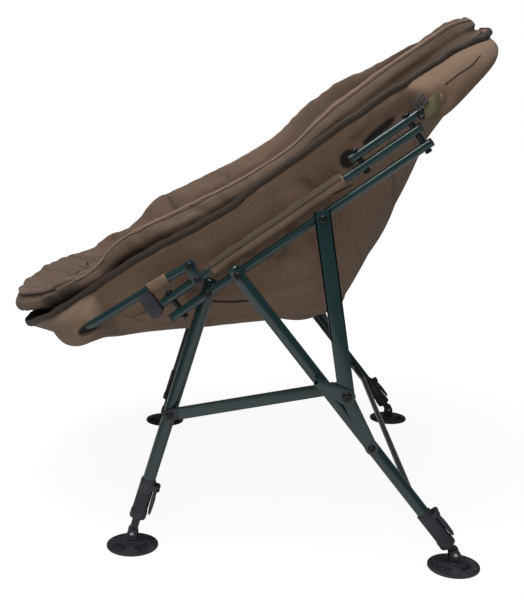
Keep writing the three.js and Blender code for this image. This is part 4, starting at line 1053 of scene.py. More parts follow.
def closed_grid(name, grid, finish, ends="pole", painted_crease_shade=None):
    """A mesh from a grid of part points. finish is one finish, or a list with one for each row
    gap, or with a list of them, one for each column. Its ends close on a middle point, or on one
    flat face, or stay open where the grid is a loop. The last argument, from 0 to 1, is painted
    shade in folds, stored as the third flat number."""
    rows, columns = grid.shape[:2]
    points = grid.reshape(-1, 3)
    flat = flat_of(grid)
    if painted_crease_shade is not None:
        flat[..., 2] = painted_crease_shade
    flat = flat.reshape(-1, 3)
    faces = ring_faces(rows, columns, ends == "flat")
    used = []
    for gap in finish if isinstance(finish, list) else [finish] * (rows - 1):
        used += gap if isinstance(gap, list) else [gap] * columns
    tips = [used[0], used[-1]]
    if ends == "flat":
        used += tips
    if ends == "pole":
        start, stop, last = len(points), len(points) + 1, (rows - 1) * columns
        points = np.concatenate([points, [grid[0].mean(0)], [grid[-1].mean(0)]])
        flat = np.concatenate([flat, flat[:1], flat[-1:]])
        for j in range(columns):
            k = (j + 1) % columns
            faces += [[start, k, j], [stop, last + j, last + k]]
            used += tips
    mesh = mesh_of(name, [(points, faces, used)])
    layer = mesh.attributes.new("flat", "FLOAT_VECTOR", "POINT")
    layer.data.foreach_set("vector", np.asarray(flat, np.float32).ravel())
    return mesh


def cloth_mesh(name, grid, finish, ends="flat"):
    """The mesh of a swept cloth piece. With ends none, its last row joins its first."""
    if ends == "none":
        grid = np.concatenate([grid, grid[:1]])
    mesh = closed_grid(name, grid, finish, ends)
    bm = bmesh.new()
    bm.from_mesh(mesh)
    bmesh.ops.recalc_face_normals(bm, faces=bm.faces)
    bm.to_mesh(mesh)
    bm.free()
    return mesh


print("cloth grids and meshes ready")

# %% Places, noise and cloth helpers
def spread(corners, count=None, pitch=None):
    """Places along a line of corners: count of them, or one at every pitch."""
    corners = np.array(corners, float)
    marks = np.concatenate([[0], np.cumsum(np.linalg.norm(np.diff(corners, axis=0), axis=1))])
    steps = np.linspace(0, marks[-1], count) if count else np.arange(0, marks[-1], pitch)
    return np.stack([np.interp(steps, marks, corners[:, i]) for i in range(corners.shape[1])], -1)


def waves(places, size, seed):
    """Smooth noise from -1 to 1 at each place, one swell in about size millimetres."""
    shape = places.shape[:-1]
    offset = Vector((seed * 17.3, seed * 5.1, seed * 9.7))
    values = [noise.noise(Vector(p) / size + offset) for p in places.reshape(-1, 3)]
    return np.array(values).reshape(shape)


def ripples(places, sizes, seed):
    """Smooth noise with a swell of its own size along each axis."""
    return waves(places / np.array(sizes), 1, seed)


FOLD_START, FOLD_END = on_rail(0, 118, 60) / 1000, on_rail(0, 14, 60) / 1000


def soft(obj):
    """Bakes the object's placement into its mesh."""
    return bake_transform(obj)


def plain_object(mesh):
    obj = placed(mesh.name, mesh)
    mesh.shade_smooth()
    return obj


def cloth_area(obj):
    """Square metres of cloth, counted on one side."""
    return sum(face.area for face in obj.data.polygons) / 2


print("front folds between", FOLD_START.round(3), "and", FOLD_END.round(3))

# %% [markdown]
# ## The bag
# The outer bag is canvas with a lining at its mouth. Near its bound edge the cloth is gathered
# into short puckers, lower down it hangs in a few broad folds, and soft bulges show where the
# padding pushes it out. These are added to the formula's surface as waves of three sizes,
# because a simulation of so stiff a cloth would change little. Where a hoop runs inside the bag,
# the cloth is drawn over the tube, and the bound edge rises at the knees and falls at the top.

# %% Cloth over the hoops
COVER_RADIUS = 12
BACK_ENTRY_U, FRONT_ENTRY_U = 499, -116


def cover(points, normal, route, most):
    """How far the cloth must stand off so that it is drawn over a hoop, up to most."""
    to_left = np.sign(points[..., :1] + 1e-9) ** [1, 0, 0]
    here, away = points * to_left, -normal * to_left
    best = np.zeros(points.shape[:-1])
    for place in route:
        gap = place - here
        out = np.sum(gap * away, -1)
        beside = np.linalg.norm(gap - out[..., None] * away, axis=-1)
        need = np.clip(out + COVER_RADIUS, 0, most)
        width = 14 + 0.75 * need
        drape = need * np.exp(-((np.maximum(0, beside - 10) / width) ** 2))
        best = np.maximum(best, np.where(np.abs(out) < 95, drape, 0))
    before = np.sum((here - route[0]) * unit(route[0] - route[1]), -1)
    return best * np.exp(-((np.maximum(0, before) / 11) ** 2))


def pushed_out(points, route):
    """The side wall stands outside a hoop that runs along it."""
    depth = rim_at(points[..., 1]) - points[..., 2]
    reach = np.abs(points[..., 0])
    lift = np.zeros_like(reach)
    for x, u, n in route[route[:, 0] > 225]:
        apart = np.hypot(points[..., 1] - u, points[..., 2] - n)
        lift = np.maximum(lift, np.maximum(0, x + 11 - reach) * smooth_step(44, 15, apart))
    return (reach + lift * smooth_step(5, 17, depth)) * np.sign(points[..., 0] + 1e-9)


def rim_slack(u):
    """The bound edge isn't straight: it rises at the knees, dips, and falls at the top end."""
    knees = 7 * np.exp(-(((u + 10) / 85) ** 2)) - 5 * np.exp(-(((u - 150) / 45) ** 2))
    return knees + 3 * np.exp(-(((u - 430) / 70) ** 2)) - 13 * smooth_step(545, 655, u)


def top_drawn_in(u):
    """How far the top end of the bound edge is drawn in along the rails."""
    return 9 * smooth_step(585, 668, u)


def from_part(points):
    """Part points in rail coordinates."""
    gap = np.asarray(points) - on_rail(0, 0, 0)
    return np.stack([gap[..., 0], gap @ ALONG, gap @ SQUARE], -1)


def hidden_route(half, keep):
    """The part of a hoop that the bag covers, in rail coordinates."""
    run = from_part(half + [half[-1] * [0, 1, 1]])
    return spread(run[keep(run[:, 1])], pitch=8.0)


back_route = hidden_route(back_half, lambda u: u > BACK_ENTRY_U)
front_route = hidden_route(front_half, lambda u: u < FRONT_ENTRY_U)
print("hoop places inside the bag", len(back_route), len(front_route))

# %% Bag
BAG_COLUMNS, CLOTH_THICKNESS = 420, 3.4
PUCKER_HEIGHT, FOLD_HEIGHT, BROAD_HEIGHT = 6.0, 9.0, 14.0
# Each bulge has its middle (x, u, n), its height and its reach.
BULGES = (
    ((292, -200, 78), 3, 34),
    ((250, -150, 30), 2, 42),
    ((310, 470, 62), 8, 60),
)


def seat_bag():
    angles, _ = even_angles(BAG_COLUMNS)
    outer_shares = np.sin(np.linspace(0.03, 1, 74) * math.pi / 2)
    inner_shares = np.sin(np.linspace(1, 0.3, 22) * math.pi / 2)
    rows = [offset_point(angles, np.full(BAG_COLUMNS, s), 0.0) for s in outer_shares]
    rows += [offset_point(angles, np.full(BAG_COLUMNS, s), CLOTH_THICKNESS) for s in inner_shares]
    grid, count = np.array(rows), len(outer_shares)
    outer = grid[:count]
    away = rim_at(outer[..., 1]) - outer[..., 2]
    way_round = round_angles(BAG_COLUMNS)
    ring = RIM_LENGTH / (2 * math.pi)
    around = np.stack([np.cos(way_round) * ring, np.sin(way_round) * ring], -1)
    around = np.broadcast_to(around, outer.shape[:2] + (2,))
    place = np.concatenate([around, away[..., None]], -1)
    puckers = waves(place * [1, 1, 0.25], 15, 1) * PUCKER_HEIGHT * np.exp(-np.maximum(away - 6, 0) / 26)
    folds = waves(place * [1, 1, 0.35], 62, 2) * FOLD_HEIGHT * smooth_step(5, 60, away)
    broad = waves(place * [1, 1, 0.6], 170, 3) * BROAD_HEIGHT * smooth_step(10, 90, away)
    hold = smooth_step(0, 12, away)
    swells = puckers + (folds + broad) * (1 - smooth_step(-110, -180, outer[..., 1]))
    swells = np.where(swells < 0, 0.25 * swells, swells)
    for (x, u, n), height, reach in BULGES:
        gap = np.stack([np.abs(outer[..., 0]) - x, outer[..., 1] - u, outer[..., 2] - n], -1)
        swells += height * np.exp(-((np.linalg.norm(gap, axis=-1) / reach) ** 2))
    angle_grid = np.broadcast_to(angles, outer.shape[:2])
    share_grid = np.broadcast_to(outer_shares[:, None], outer.shape[:2])
    normal = bowl_normal(angle_grid, share_grid)
    covered = np.maximum(cover(outer, normal, back_route, 90), cover(outer, normal, front_route, 22))
    grid[:count] -= normal * (hold * np.maximum(swells, covered))[..., None]
    grid[:count, :, 0] = pushed_out(grid[:count], np.concatenate([back_route, front_route]))
    shares = np.concatenate([outer_shares, inner_shares])[:, None]
    grid[..., 2] += rim_slack(grid[..., 1]) * shares**6
    grid[..., 1] -= top_drawn_in(grid[..., 1])
    # painted shade: along a wandering fold line below the rim, the third flat number darkens the canvas
    fold_line = waves(place * [1, 1, 0.5], 95, 21) * smooth_step(8, 50, away)
    painted_crease_shade = np.zeros(grid.shape[:2])
    painted_crease_shade[:count] = 0.42 * smooth_step(0.05, 0.0, np.abs(fold_line)) * smooth_step(8, 40, away)
    # painted shade: past four rows of pink lining, the bag's inner face takes the near-black cloth for the
    # shade between bag and cushion
    finishes = [CANVAS] * (count - 1) + [PINK_LINING] * 4 + [PAINTED_SHADE_CLOTH] * (len(grid) - count - 4)
    return grid, closed_grid("seat_bag", to_part(grid), finishes, painted_crease_shade=painted_crease_shade)


bag_grid, bag_mesh = seat_bag()
bag = plain_object(bag_mesh)
soft(bag)
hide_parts("seat_shell_rear", "seat_shell_front")
print("bag points", len(bag.data.vertices))

# %% [markdown]
# ## The cushion
# The padded liner fills the bucket and rolls over its rim in thick wings. It is a closed form:
# its underside lies on the bag, the wings stand above the rim, and the inner face has sewn
# channels across the knee roll. It starts slightly thin, is blown up by a cloth simulation with
# its seams pinned, and the seams stay drawn in while the cloth between them swells and wrinkles.
# At the top end one wing slumps a little, as on the photograph.

# %% Cushion form
PAD = {"thickness": 52, "crown": 12, "edge": 46, "gather": 5, "base": 4.2, "slim": 3.0}
CHANNEL = {"end_u": 20, "pitch": 92, "depth": 9, "width": 20}
WING = {"rise": 36, "drop": 22, "hump": 33, "back": 18, "slump": 15, "share": 0.965}
LIP = {"rise": 30, "power": 8, "reach": 31, "reach_power": 4}
HUMP = {"front": -0.57, "front_slope": 0.04, "back": 0.06, "back_slope": 0.16}
GATHERS = 14
PAD_COLUMNS = 240


def from_channel(u):
    """Distance from the nearest sewn channel."""
    place = (CHANNEL["end_u"] - u) / CHANNEL["pitch"]
    return np.abs(place - np.round(place)) * CHANNEL["pitch"]


def pad_thickness(angle, share):
    _, u = outline_at(angle, share)
    crown = PAD["crown"] * (1 - share**2)
    edge = (PAD["edge"] - PAD["thickness"]) * share**6
    groove = CHANNEL["depth"] * np.exp(-((from_channel(u) / CHANNEL["width"]) ** 2))
    groove = np.where(u < CHANNEL["end_u"], groove, 0)
    gather = PAD["gather"] * np.cos(GATHERS * angle) * share**2 * (1 - share**8)
    thin = 16 * smooth_step(250, 420, u) * share**3
    return PAD["thickness"] + crown + edge - thin - groove * (1 - share**8) + gather


def wing_rise(angle):
    x, u = outline_at(angle, 1.0)
    share = (u - SEAT_CENTRE_U) / SEAT_HALF_LENGTH
    begun = 1 / (1 + np.exp((HUMP["front"] - share) / HUMP["front_slope"]))
    not_over = 1 / (1 + np.exp((share - HUMP["back"]) / HUMP["back_slope"]))
    lip = LIP["rise"] * np.maximum(0, -share) ** LIP["power"]
    back = WING["back"] * smooth_step(0.1, 0.4, share) * (1 - 0.7 * smooth_step(0.84, 1.0, share))
    slump = WING["slump"] * smooth_step(0.5, 0.72, share) * smooth_step(-60, -220, x)
    rise = WING["rise"] + lip + back - slump - WING["drop"] * np.maximum(0, share)
    return rise + WING["hump"] * begun * not_over


def cushion_rows():
    """Rows of the underside, the wing's arch and the inner face, slimmed before the swelling."""
    angles, _ = even_angles(PAD_COLUMNS)
    last, base, slim = WING["share"], PAD["base"], PAD["slim"]
    under = [s * last for s in np.sin(np.linspace(0.08, 1, 16) * math.pi / 2)]
    rows = [offset_point(angles, np.full(PAD_COLUMNS, s), base) for s in under]
    edge_share = np.full(PAD_COLUMNS, last)
    outer = offset_point(angles, edge_share, base)
    inner = offset_point(angles, edge_share, base + pad_thickness(angles, last) - slim)
    facing = np.maximum(0, -np.sin(angles)) ** LIP["reach_power"]
    arch = 22
    for i in range(1, arch + 1):
        turn = math.pi * i / arch
        point = outer + (inner - outer) * (1 - math.cos(turn)) / 2
        point[:, 2] += (wing_rise(angles) - slim) * math.sin(turn)
        point[:, 1] -= (LIP["reach"] - slim) * facing * math.sin(turn)
        rows.append(point)
    for s in [s * last for s in np.sin(np.linspace(1, 0.06, 50) * math.pi / 2)][1:]:
        distance = base + pad_thickness(angles, s) - slim
        rows.append(offset_point(angles, np.full(PAD_COLUMNS, s), distance))
    return np.array(rows), len(under), arch


pad_rows, under_count, arch_count = cushion_rows()
print("cushion rows", len(pad_rows), "points", pad_rows[..., 0].size)

# %% [markdown]
# The cloth simulation runs on the grid itself, so that the sewn lines stay where they are.
# Weight 1 in the pin group holds a point: the underside and the piping line on the wing. The
# seams of the inner face have a little less, so that they give. A negative shrink gives the
# cloth a little spare width, which turns into wrinkles beside the seams. The movement is
# capped, so the pad stays in its space.

# %% Swell the cushion
PIPING_ROW = under_count + round(0.42 * arch_count)
PANEL_ROW = under_count + arch_count + 8
BORDER_ROW = under_count + round(0.2 * arch_count)
TUCK, LEAN_OUT = 21, 5.0
SWELL_CAP, SWELL_FRAMES = 9.0, 20


def pin_weights(rows):
    weights = np.zeros(rows.shape[:2])
    weights[: under_count + 1] = 1
    weights[PIPING_ROW] = 1
    weights[PANEL_ROW] = 0.92
    u = rows[..., 1]
    inside = np.arange(len(rows))[:, None] > PANEL_ROW
    weights[(from_channel(u) < 5) & (u < CHANNEL["end_u"] + 5) & inside] = 0.9
    return weights


def swell(rows, weights):
    """Blow the grid up as cloth and give back its new places, in millimetres."""
    obj = plain_object(closed_grid("cushion_cloth", rows, PADDING))
    group = obj.vertex_groups.new(name="seams")
    for value in np.unique(weights):
        if value > 0:
            group.add(np.flatnonzero(weights == value).tolist(), float(value), "REPLACE")
    group.add([weights.size], 1.0, "REPLACE")
    cloth = obj.modifiers.new("cloth", "CLOTH")
    cloth.settings.vertex_group_mass = "seams"
    cloth.settings.use_pressure = True
    cloth.settings.uniform_pressure_force = 2.5
    cloth.settings.effector_weights.gravity = 0
    cloth.settings.shrink_min = -0.02
    cloth.settings.tension_stiffness = 12
    cloth.settings.compression_stiffness = 12
    cloth.settings.bending_stiffness = 0.8
    cloth.collision_settings.use_collision = False
    cloth.point_cache.frame_start, cloth.point_cache.frame_end = 1, SWELL_FRAMES
    scene = bpy.context.scene
    for index in range(1, SWELL_FRAMES + 1):
        scene.frame_set(index)
    graph = bpy.context.evaluated_depsgraph_get()
    blown = obj.evaluated_get(graph).to_mesh()
    places = np.array([v.co for v in blown.vertices])[: weights.size].reshape(rows.shape) * 1000
    scene.frame_set(1)
    bpy.data.objects.remove(obj)
    moved = places - rows
    length = np.linalg.norm(moved, axis=-1, keepdims=True)
    print("largest swell before the cap, mm", round(float(length.max()), 1))
    share = 1 - 0.85 * smooth_step(150, 330, pad_rows[..., 1:2])
    return rows + share * moved * np.minimum(1, SWELL_CAP / np.maximum(length, 1e-6))


pad_grid = to_part(pad_rows)
pad_grid = swell(pad_grid, pin_weights(pad_rows))

# %% [markdown]
# The swollen grid is made twice as fine along both directions by a smooth curve through its
# points. The fine grid then gets what a simulation of this size can't show: a drawn-in line at
# each seam, short wrinkles that run level across the knee roll, and gathers behind the piping.
# Under the wing the side panel is tucked in by a distance that varies along the edge. The wrinkle
# ridges, the panel seam and a wedge below the front lip are darkened as painted shade, and the
# tucked rows below the panel are near-black, a painted shadow in the gap.

# %% Finer grid with wrinkles
def between(before, start, end, after):
    return (9 * (start + end) - before - after) / 16


def finer(grid):
    """Twice the rows and columns, on a smooth curve through the given points."""
    before, after, beyond = np.roll(grid, 1, 1), np.roll(grid, -1, 1), np.roll(grid, -2, 1)
    wide = np.stack([grid, between(before, grid, after, beyond)], 2).reshape(len(grid), -1, 3)
    padded = np.concatenate([wide[:1], wide, wide[-1:]])
    middle = between(padded[:-3], padded[1:-2], padded[2:-1], padded[3:])
    rows = np.empty((2 * len(wide) - 1,) + wide.shape[1:])
    rows[::2], rows[1::2] = wide, middle
    return rows


def grid_normals(grid):
    round_row = np.roll(grid, -1, 1) - np.roll(grid, 1, 1)
    normal = np.cross(round_row, np.gradient(grid, axis=0))
    return normal / np.maximum(np.linalg.norm(normal, axis=-1, keepdims=True), 1e-9)


def dressed_cushion(grid, form):
    """form holds the same points before the swelling, in rail coordinates."""
    grid, form = finer(grid), finer(form)
    normal = grid_normals(grid)
    if normal[-1].mean(0)[2] < 0:
        normal = -normal
    row = np.arange(len(grid))[:, None]
    piping, panel, base = 2 * PIPING_ROW, 2 * PANEL_ROW, 2 * under_count
    u = form[..., 1]
    front = smooth_step(-40, -110, u)
    inner = smooth_step(0, 8, row - piping)
    ridge = 1 - 2 * np.abs(ripples(grid, (90, 100, 26), 11))
    fine_ridge = 1 - 2 * np.abs(ripples(grid, (50, 70, 14), 12))
    level = (4.2 * ridge + 2.4 * fine_ridge) * front
    calm = ripples(grid, (120, 60, 60), 13) * 3.0
    gathers = ripples(form, (24, 15, 70), 14) * 2.4 * np.exp(-np.abs(row - piping - 6) / 9)
    gathers += ripples(form, (24, 17, 70), 15) * 1.8 * np.exp(-np.abs(row - panel) / 7)
    side = smooth_step(2, 8, piping - row) * smooth_step(0, 6, row - base)
    sag = ripples(form, (200, 55, 30), 16) * 2.6 * side
    seam = -1.8 * np.exp(-(((row - piping) / 1.6) ** 2)) - 3.0 * np.exp(-(((row - panel) / 2.4) ** 2))
    seam = seam * smooth_step(0, 6, row - base)
    height = (level + calm) * inner + gathers + sag + seam
    border = 2 * BORDER_ROW
    edge = form[border][None]
    loose = np.clip(0.62 + 0.9 * ripples(edge, (150, 130, 150), 17), 0.35, 1)
    loose = np.maximum(loose, 1.8 * smooth_step(-30, -100, edge[..., 1]))
    loose = loose * (1 - 0.75 * smooth_step(210, 350, edge[..., 1]))
    tuck = TUCK * smooth_step(base - 2, base + 4, row) * smooth_step(border + 1, border - 2, row) * loose
    lean = LEAN_OUT * smooth_step(border - 1, border + 2, row) * smooth_step(piping, border + 4, row)
    lean = lean * loose
    # painted shade: crease values darken the wrinkle ridges, the panel seam and a wedge under the front lip
    painted_crease_shade = 0.5 * smooth_step(0.10, 0.0, np.abs(ridge - 1)) * front * inner
    painted_crease_shade = np.maximum(painted_crease_shade, 0.35 * smooth_step(0.12, 0.0, np.abs(fine_ridge - 1)) * front * inner)
    painted_crease_shade = np.maximum(painted_crease_shade, 0.3 * np.exp(-(((row - panel) / 1.2) ** 2)))
    # painted shadow: a dark wedge between the front lip and the binding
    corner = smooth_step(-75, -115, u) * smooth_step(-178, -150, u) * smooth_step(piping - 2, border + 5, row)
    painted_crease_shade = np.maximum(painted_crease_shade, 0.95 * corner * smooth_step(base - 8, base, row))
    return grid + normal * (height + lean - tuck)[..., None], painted_crease_shade


cushion_grid, cushion_painted_shade = dressed_cushion(pad_grid, pad_rows)
# painted shadow: rows below the side panel's first row take the near-black cloth, for the shade in the gap
# under the wing
border_u = finer(pad_rows)[2 * BORDER_ROW][:, 1]
first_side = 2 * BORDER_ROW - 1 - 7 * smooth_step(210, 350, border_u)
row_finish = [[SHADED_SIDE_CANVAS if i >= start else PAINTED_SHADE_CLOTH for start in first_side] for i in range(2 * PIPING_ROW)]
row_finish += [PADDING] * (len(cushion_grid) - 1 - len(row_finish))
cushion = plain_object(closed_grid("seat_cushion", cushion_grid, row_finish, painted_crease_shade=cushion_painted_shade))
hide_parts("seat_cushion_rear", "seat_cushion_front")
print("cushion points", len(cushion.data.vertices))

# %% [markdown]
# ## Piping and binding
# A thin piped seam runs round the wing where side panel and inner face meet. At the front lip
# it gives way to a thin dark seam. A row of stitches runs beside the piping, and an elastic
# binding folds over the bag's edge. Each is a tube swept along a row of the cushion or along
# the rim, and each stores flat coordinates for its finish.

# %% Swept trims
def ring_section(across_radius, along_radius, sides):
    angles = round_angles(sides)
    return np.cos(angles) * across_radius, np.sin(angles) * along_radius


def swept(path, section, closed=False, up=SQUARE):
    """Grid of the section carried along the path, its second axis near up."""
    path = np.asarray(path, float)
    if closed:
        tangent = np.roll(path, -1, 0) - np.roll(path, 1, 0)
    else:
        tangent = np.gradient(path, axis=0)
    side = np.cross(tangent, np.broadcast_to(up, path.shape))
    side /= np.linalg.norm(side, axis=1)[:, None]
    lift = np.cross(side, tangent)
    lift /= np.linalg.norm(lift, axis=1)[:, None]
    across, along = (axis[None, :, None] for axis in section)
    return path[:, None] + side[:, None] * across + lift[:, None] * along


def trim(name, grid, finish, ends="flat"):
    """A swept trim, its placement baked into its mesh."""
    return soft(plain_object(cloth_mesh(name, grid, finish, ends)))


def round_sides(path):
    """The part of a path round the cushion that isn't the front lip."""
    return np.concatenate([path[seam_end:], path[: seam_start + 1]])


piping_row = 2 * PIPING_ROW
piping_path = cushion_grid[piping_row]
piping_u = finer(pad_rows)[piping_row][:, 1]
lip_points = np.flatnonzero(piping_u < -138)
seam_start, seam_end = lip_points.min(), lip_points.max()
piping = trim("cushion_piping", swept(round_sides(piping_path), ring_section(2.5, 2.5, 12)), PIPING)
lip_path = piping_path[seam_start - 1 : seam_end + 2]
lip_seam = trim("lip_seam", swept(lip_path, ring_section(1.3, 1.3, 10)), DARK_THREAD)
stitch_path = cushion_grid[piping_row - 3] + 0.3 * grid_normals(cushion_grid)[piping_row - 3]
stitch = trim("piping_stitch", swept(round_sides(stitch_path), ring_section(0.6, 0.6, 8)), DARK_THREAD)
rim_angles, _ = even_angles(900)
rim_path = bowl_point(rim_angles, 1.0)
rim_ring = np.stack([np.cos(rim_angles) * 400, np.sin(rim_angles) * 400, 0 * rim_angles], -1)
rim_path[:, 2] += 2.2 * waves(rim_ring, 24, 5) - 1.5 + rim_slack(rim_path[:, 1])
rim_path[:, 1] -= top_drawn_in(rim_path[:, 1])
rim_path[:, 0] += np.sign(rim_path[:, 0]) * waves(rim_ring, 30, 6)
binding_grid = swept(to_part(rim_path), ring_section(3.0, 5.4, 16), closed=True)
binding = trim("rim_binding", binding_grid, BINDING, "none")
soft(cushion)
print("bag cloth", round(cloth_area(bag), 3))
print("piping and binding swept")

# %% [markdown]
# ## Sleeves and pockets
# The bag hangs from the rails by a long cloth sleeve on each side. Its section is a ring round
# the rail with a flat tail that runs in to the bag. A dark band is sewn along its top with
# zigzag stitches, which are modelled as real thread, since they catch the light in a close view.
# A tab goes round the front hoop, and where the hoops and rails meet the bag's wall there are
# openings with a bound edge, their insides a near-black sheet of painted shade. A webbing strap
# with a buckle and a ring hangs at the back.

# %% Places on the bag
bag_wall = bag_grid[: len(bag_grid) // 2 + 20].reshape(-1, 3)
bag_wall = bag_wall[bag_wall[:, 0] > 60]


def wall_x(u, n):
    """How far out the bag's left wall is at a place along and square to the rails."""
    gap = np.hypot(bag_wall[:, 1] - u, bag_wall[:, 2] - n)
    nearest = np.argsort(gap)[:6]
    weight = 1 / (gap[nearest] + 0.5) ** 2
    return float((bag_wall[nearest, 0] * weight).sum() / weight.sum())


def on_wall(places, proud):
    """Places (u, n) on the bag's left wall, proud by some millimetres, evenly smoothed."""
    xs = np.array([wall_x(u, n) for u, n in places])
    padded = np.concatenate([xs[:1], xs[:1], xs, xs[-1:], xs[-1:]])
    xs = np.convolve(padded, np.ones(5) / 5, "valid") + proud
    return np.array([on_rail(x, u, n) for x, (u, n) in zip(xs, places)])


def cloth_pair(name, grid, finish, body=None, ends="flat"):
    """A swept cloth piece on the left and its mirror image on the right. With a body it rides on
    that body; with none its placement is baked into its mesh."""
    for side, sign in (("left", 1), ("right", -1)):
        rows = grid if sign > 0 else (grid * [-1, 1, 1])[:, ::-1]
        obj = plain_object(cloth_mesh(name + "_" + side, rows, finish, ends))
        if body:
            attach(obj, body)
        else:
            soft(obj)


def slack_at(u, size, row):
    """Noise from -1 to 1 along a sleeve, one swell in about size millimetres."""
    return noise.noise(Vector((u / size, row, 0)))


def ring_at(u, places):
    return [on_rail(x, u, n) for x, n in places]


def zigzag(name, path, body):
    cloth_pair(name, swept(path, ring_section(0.45, 0.45, 6)), PALE_THREAD, body)

# %% Rail sleeves
SLEEVE_START, SLEEVE_END, SLEEVE_RADIUS, TAIL_X, TAIL_N = 91.5, 321, 8.4, 299, 33


def sleeve_section(u):
    """Ring round the rail with a tail towards the bag, as (x, n) places."""
    slack = 1.3 * slack_at(u, 38, 3.1) + 0.6 * slack_at(u, 11, 7.7)
    section = []
    for angle in np.linspace(math.radians(128), math.radians(-150), 26):
        radius = SLEEVE_RADIUS + slack * max(0.0, math.sin(2 * angle + 0.6))
        section.append((RAIL_X + radius * math.cos(angle), SPACING + radius * math.sin(angle)))
    reach = max(TAIL_X, wall_x(u, TAIL_N) - 6) if u < SLEEVE_END else TAIL_X
    low = (reach, TAIL_N - 3.0 + 2 * slack)
    high = (reach, TAIL_N + 1.5 + 2 * slack)
    return section + [*spread([section[-1], low], 8)[1:], *spread([high, section[0]], 8)[:-1]]


sleeve_steps = np.linspace(SLEEVE_START, SLEEVE_END, 90)
sleeve_grid = np.array([ring_at(u, sleeve_section(u)) for u in sleeve_steps])
cloth_pair("rail_sleeve", sleeve_grid, CANVAS, "seat_frame")

BAND_LOW, BAND_HIGH = math.radians(22), math.radians(86)


def round_rail(u, angle, radius):
    return on_rail(RAIL_X + radius * math.cos(angle), u, SPACING + radius * math.sin(angle))


band_rows = []
for u in np.linspace(SLEEVE_START + 1, SLEEVE_END - 2, 80):
    outer_arc = [round_rail(u, a, SLEEVE_RADIUS + 2.4) for a in np.linspace(BAND_LOW, BAND_HIGH, 9)]
    inner_arc = [round_rail(u, a, SLEEVE_RADIUS + 0.9) for a in np.linspace(BAND_HIGH, BAND_LOW, 9)]
    band_rows.append(outer_arc + inner_arc)
cloth_pair("sleeve_band", np.array(band_rows), SEAM_BAND, "seat_frame")

zig = []
for i, u in enumerate(np.arange(SLEEVE_START + 4, SLEEVE_END - 4, 2.6)):
    turn_to = BAND_LOW + 0.16 if i % 2 else BAND_HIGH - 0.16
    zig.append(round_rail(u, turn_to, SLEEVE_RADIUS + 2.6))
zigzag("sleeve_zigzag", zig, "seat_frame")

frays = []
for i in range(9):
    angle = math.radians(-120 + 32 * i)
    length = 5 + 6 * abs(math.sin(2.3 * i))
    root = round_rail(SLEEVE_START + 1, angle, SLEEVE_RADIUS)
    drift = 2.5 * math.sin(1.7 * i)
    tip = root - length * ALONG + drift * SQUARE + 1.2 * math.cos(i) * ACROSS
    middle = (root + tip) / 2 + 1.1 * math.cos(2.9 * i) * SQUARE
    frays.append(tube([root, middle, tip], [0.35, 0.3, 0.12], PALE_THREAD, 5))
pair("sleeve_fray", frays, "seat_frame", extra=True, slot="seat_canvas")

# %% Front hoop's tab and pocket
def hoop_place(u):
    """Middle of the front hoop's straight arm."""
    if u >= ARM_U:
        return RAIL_X, ARM_N - (ARM_N - HINGE_N) * (u - ARM_U) / (HINGE_U - ARM_U)
    share = (ARM_U - u) / (ARM_U - BEND_U)
    return RAIL_X + (BEND_X - RAIL_X) * share, ARM_N + (BAR_N - ARM_N) * share


def tab_ring(u, across_radius, up_radius):
    """Ring round the arm with a tail towards the bag."""
    x, n = hoop_place(u)
    ring = []
    for angle in round_angles(28):
        tail = 14 * max(0.0, math.cos(angle - math.radians(200))) ** 6
        out, up = across_radius + tail, up_radius + 0.3 * tail
        ring.append(on_rail(x + out * math.cos(angle), u, n + up * math.sin(angle)))
    return ring


tab_rows = []
for u in np.linspace(0.5, 31, 24):
    slack = 0.5 * slack_at(u, 7, 1.3)
    tab_rows.append(tab_ring(u, 8.2 + slack, 8.6 + slack))
cloth_pair("hoop_tab", np.array(tab_rows), CANVAS, "front_hoop")
zig = []
for i, u in enumerate(np.arange(2.5, 30, 2.3)):
    x, n = hoop_place(u)
    angle = math.radians(62 if i % 2 else 18)
    zig.append(on_rail(x + 9.1 * math.cos(angle), u, n + 9.5 * math.sin(angle)))
zigzag("tab_zigzag", zig, "front_hoop")


def pocket_mouth(name, centre, halves, slope, lip):
    """An opening on the bag's wall with a bound edge round it, its inside a near-black sheet of painted
    shade.
    """
    middle = np.array(centre)
    long_way = np.array([math.cos(slope), math.sin(slope)])
    high_way = np.array([-math.sin(slope), math.cos(slope)])
    edge_places = np.array([
        middle + halves[0] * math.cos(a) * long_way + halves[1] * math.sin(a) * high_way
        for a in round_angles(48)
    ])
    disc = [on_wall(middle + share * (edge_places - middle), 1.2) for share in (0.15, 0.45, 0.75, 1.0)]
    disc += [row - 2.4 * ACROSS for row in disc[::-1]]
    # painted shade: the near-black disc behind the opening stands for the shade inside it
    cloth_pair(name + "_inside", np.array(disc), PAINTED_SHADE_CLOTH, ends="pole")
    edge = swept(on_wall(edge_places, 1.6), ring_section(lip, lip, 10), closed=True, up=ACROSS)
    cloth_pair(name + "_edge", edge, SEAM_BAND, ends="none")


pocket_mouth("front_pocket", (-109, 55), (18, 7), math.radians(-4), 1.6)
pocket_mouth("rail_pocket", (345, 43), (13, 12), math.radians(20), 1.2)
pocket_mouth("middle_pocket", (404, 51), (29, 5), math.radians(6), 0.8)

# %% Back hoop's pocket, strap, buckle and ring
POCKET_START, POCKET_END = 478, 500
pocket_rows = []
for u in np.linspace(POCKET_START, POCKET_END, 16):
    radius = 8.4 + 0.7 * slack_at(u, 6, 9.3) + 0.02 * (u - POCKET_START)
    pocket_rows.append(ring_at(u, arc((RAIL_X, BACK_N), radius, 0, 2 * math.pi, 28)[:-1]))
cloth_pair("hoop_pocket", np.array(pocket_rows), CANVAS, "seat_frame")

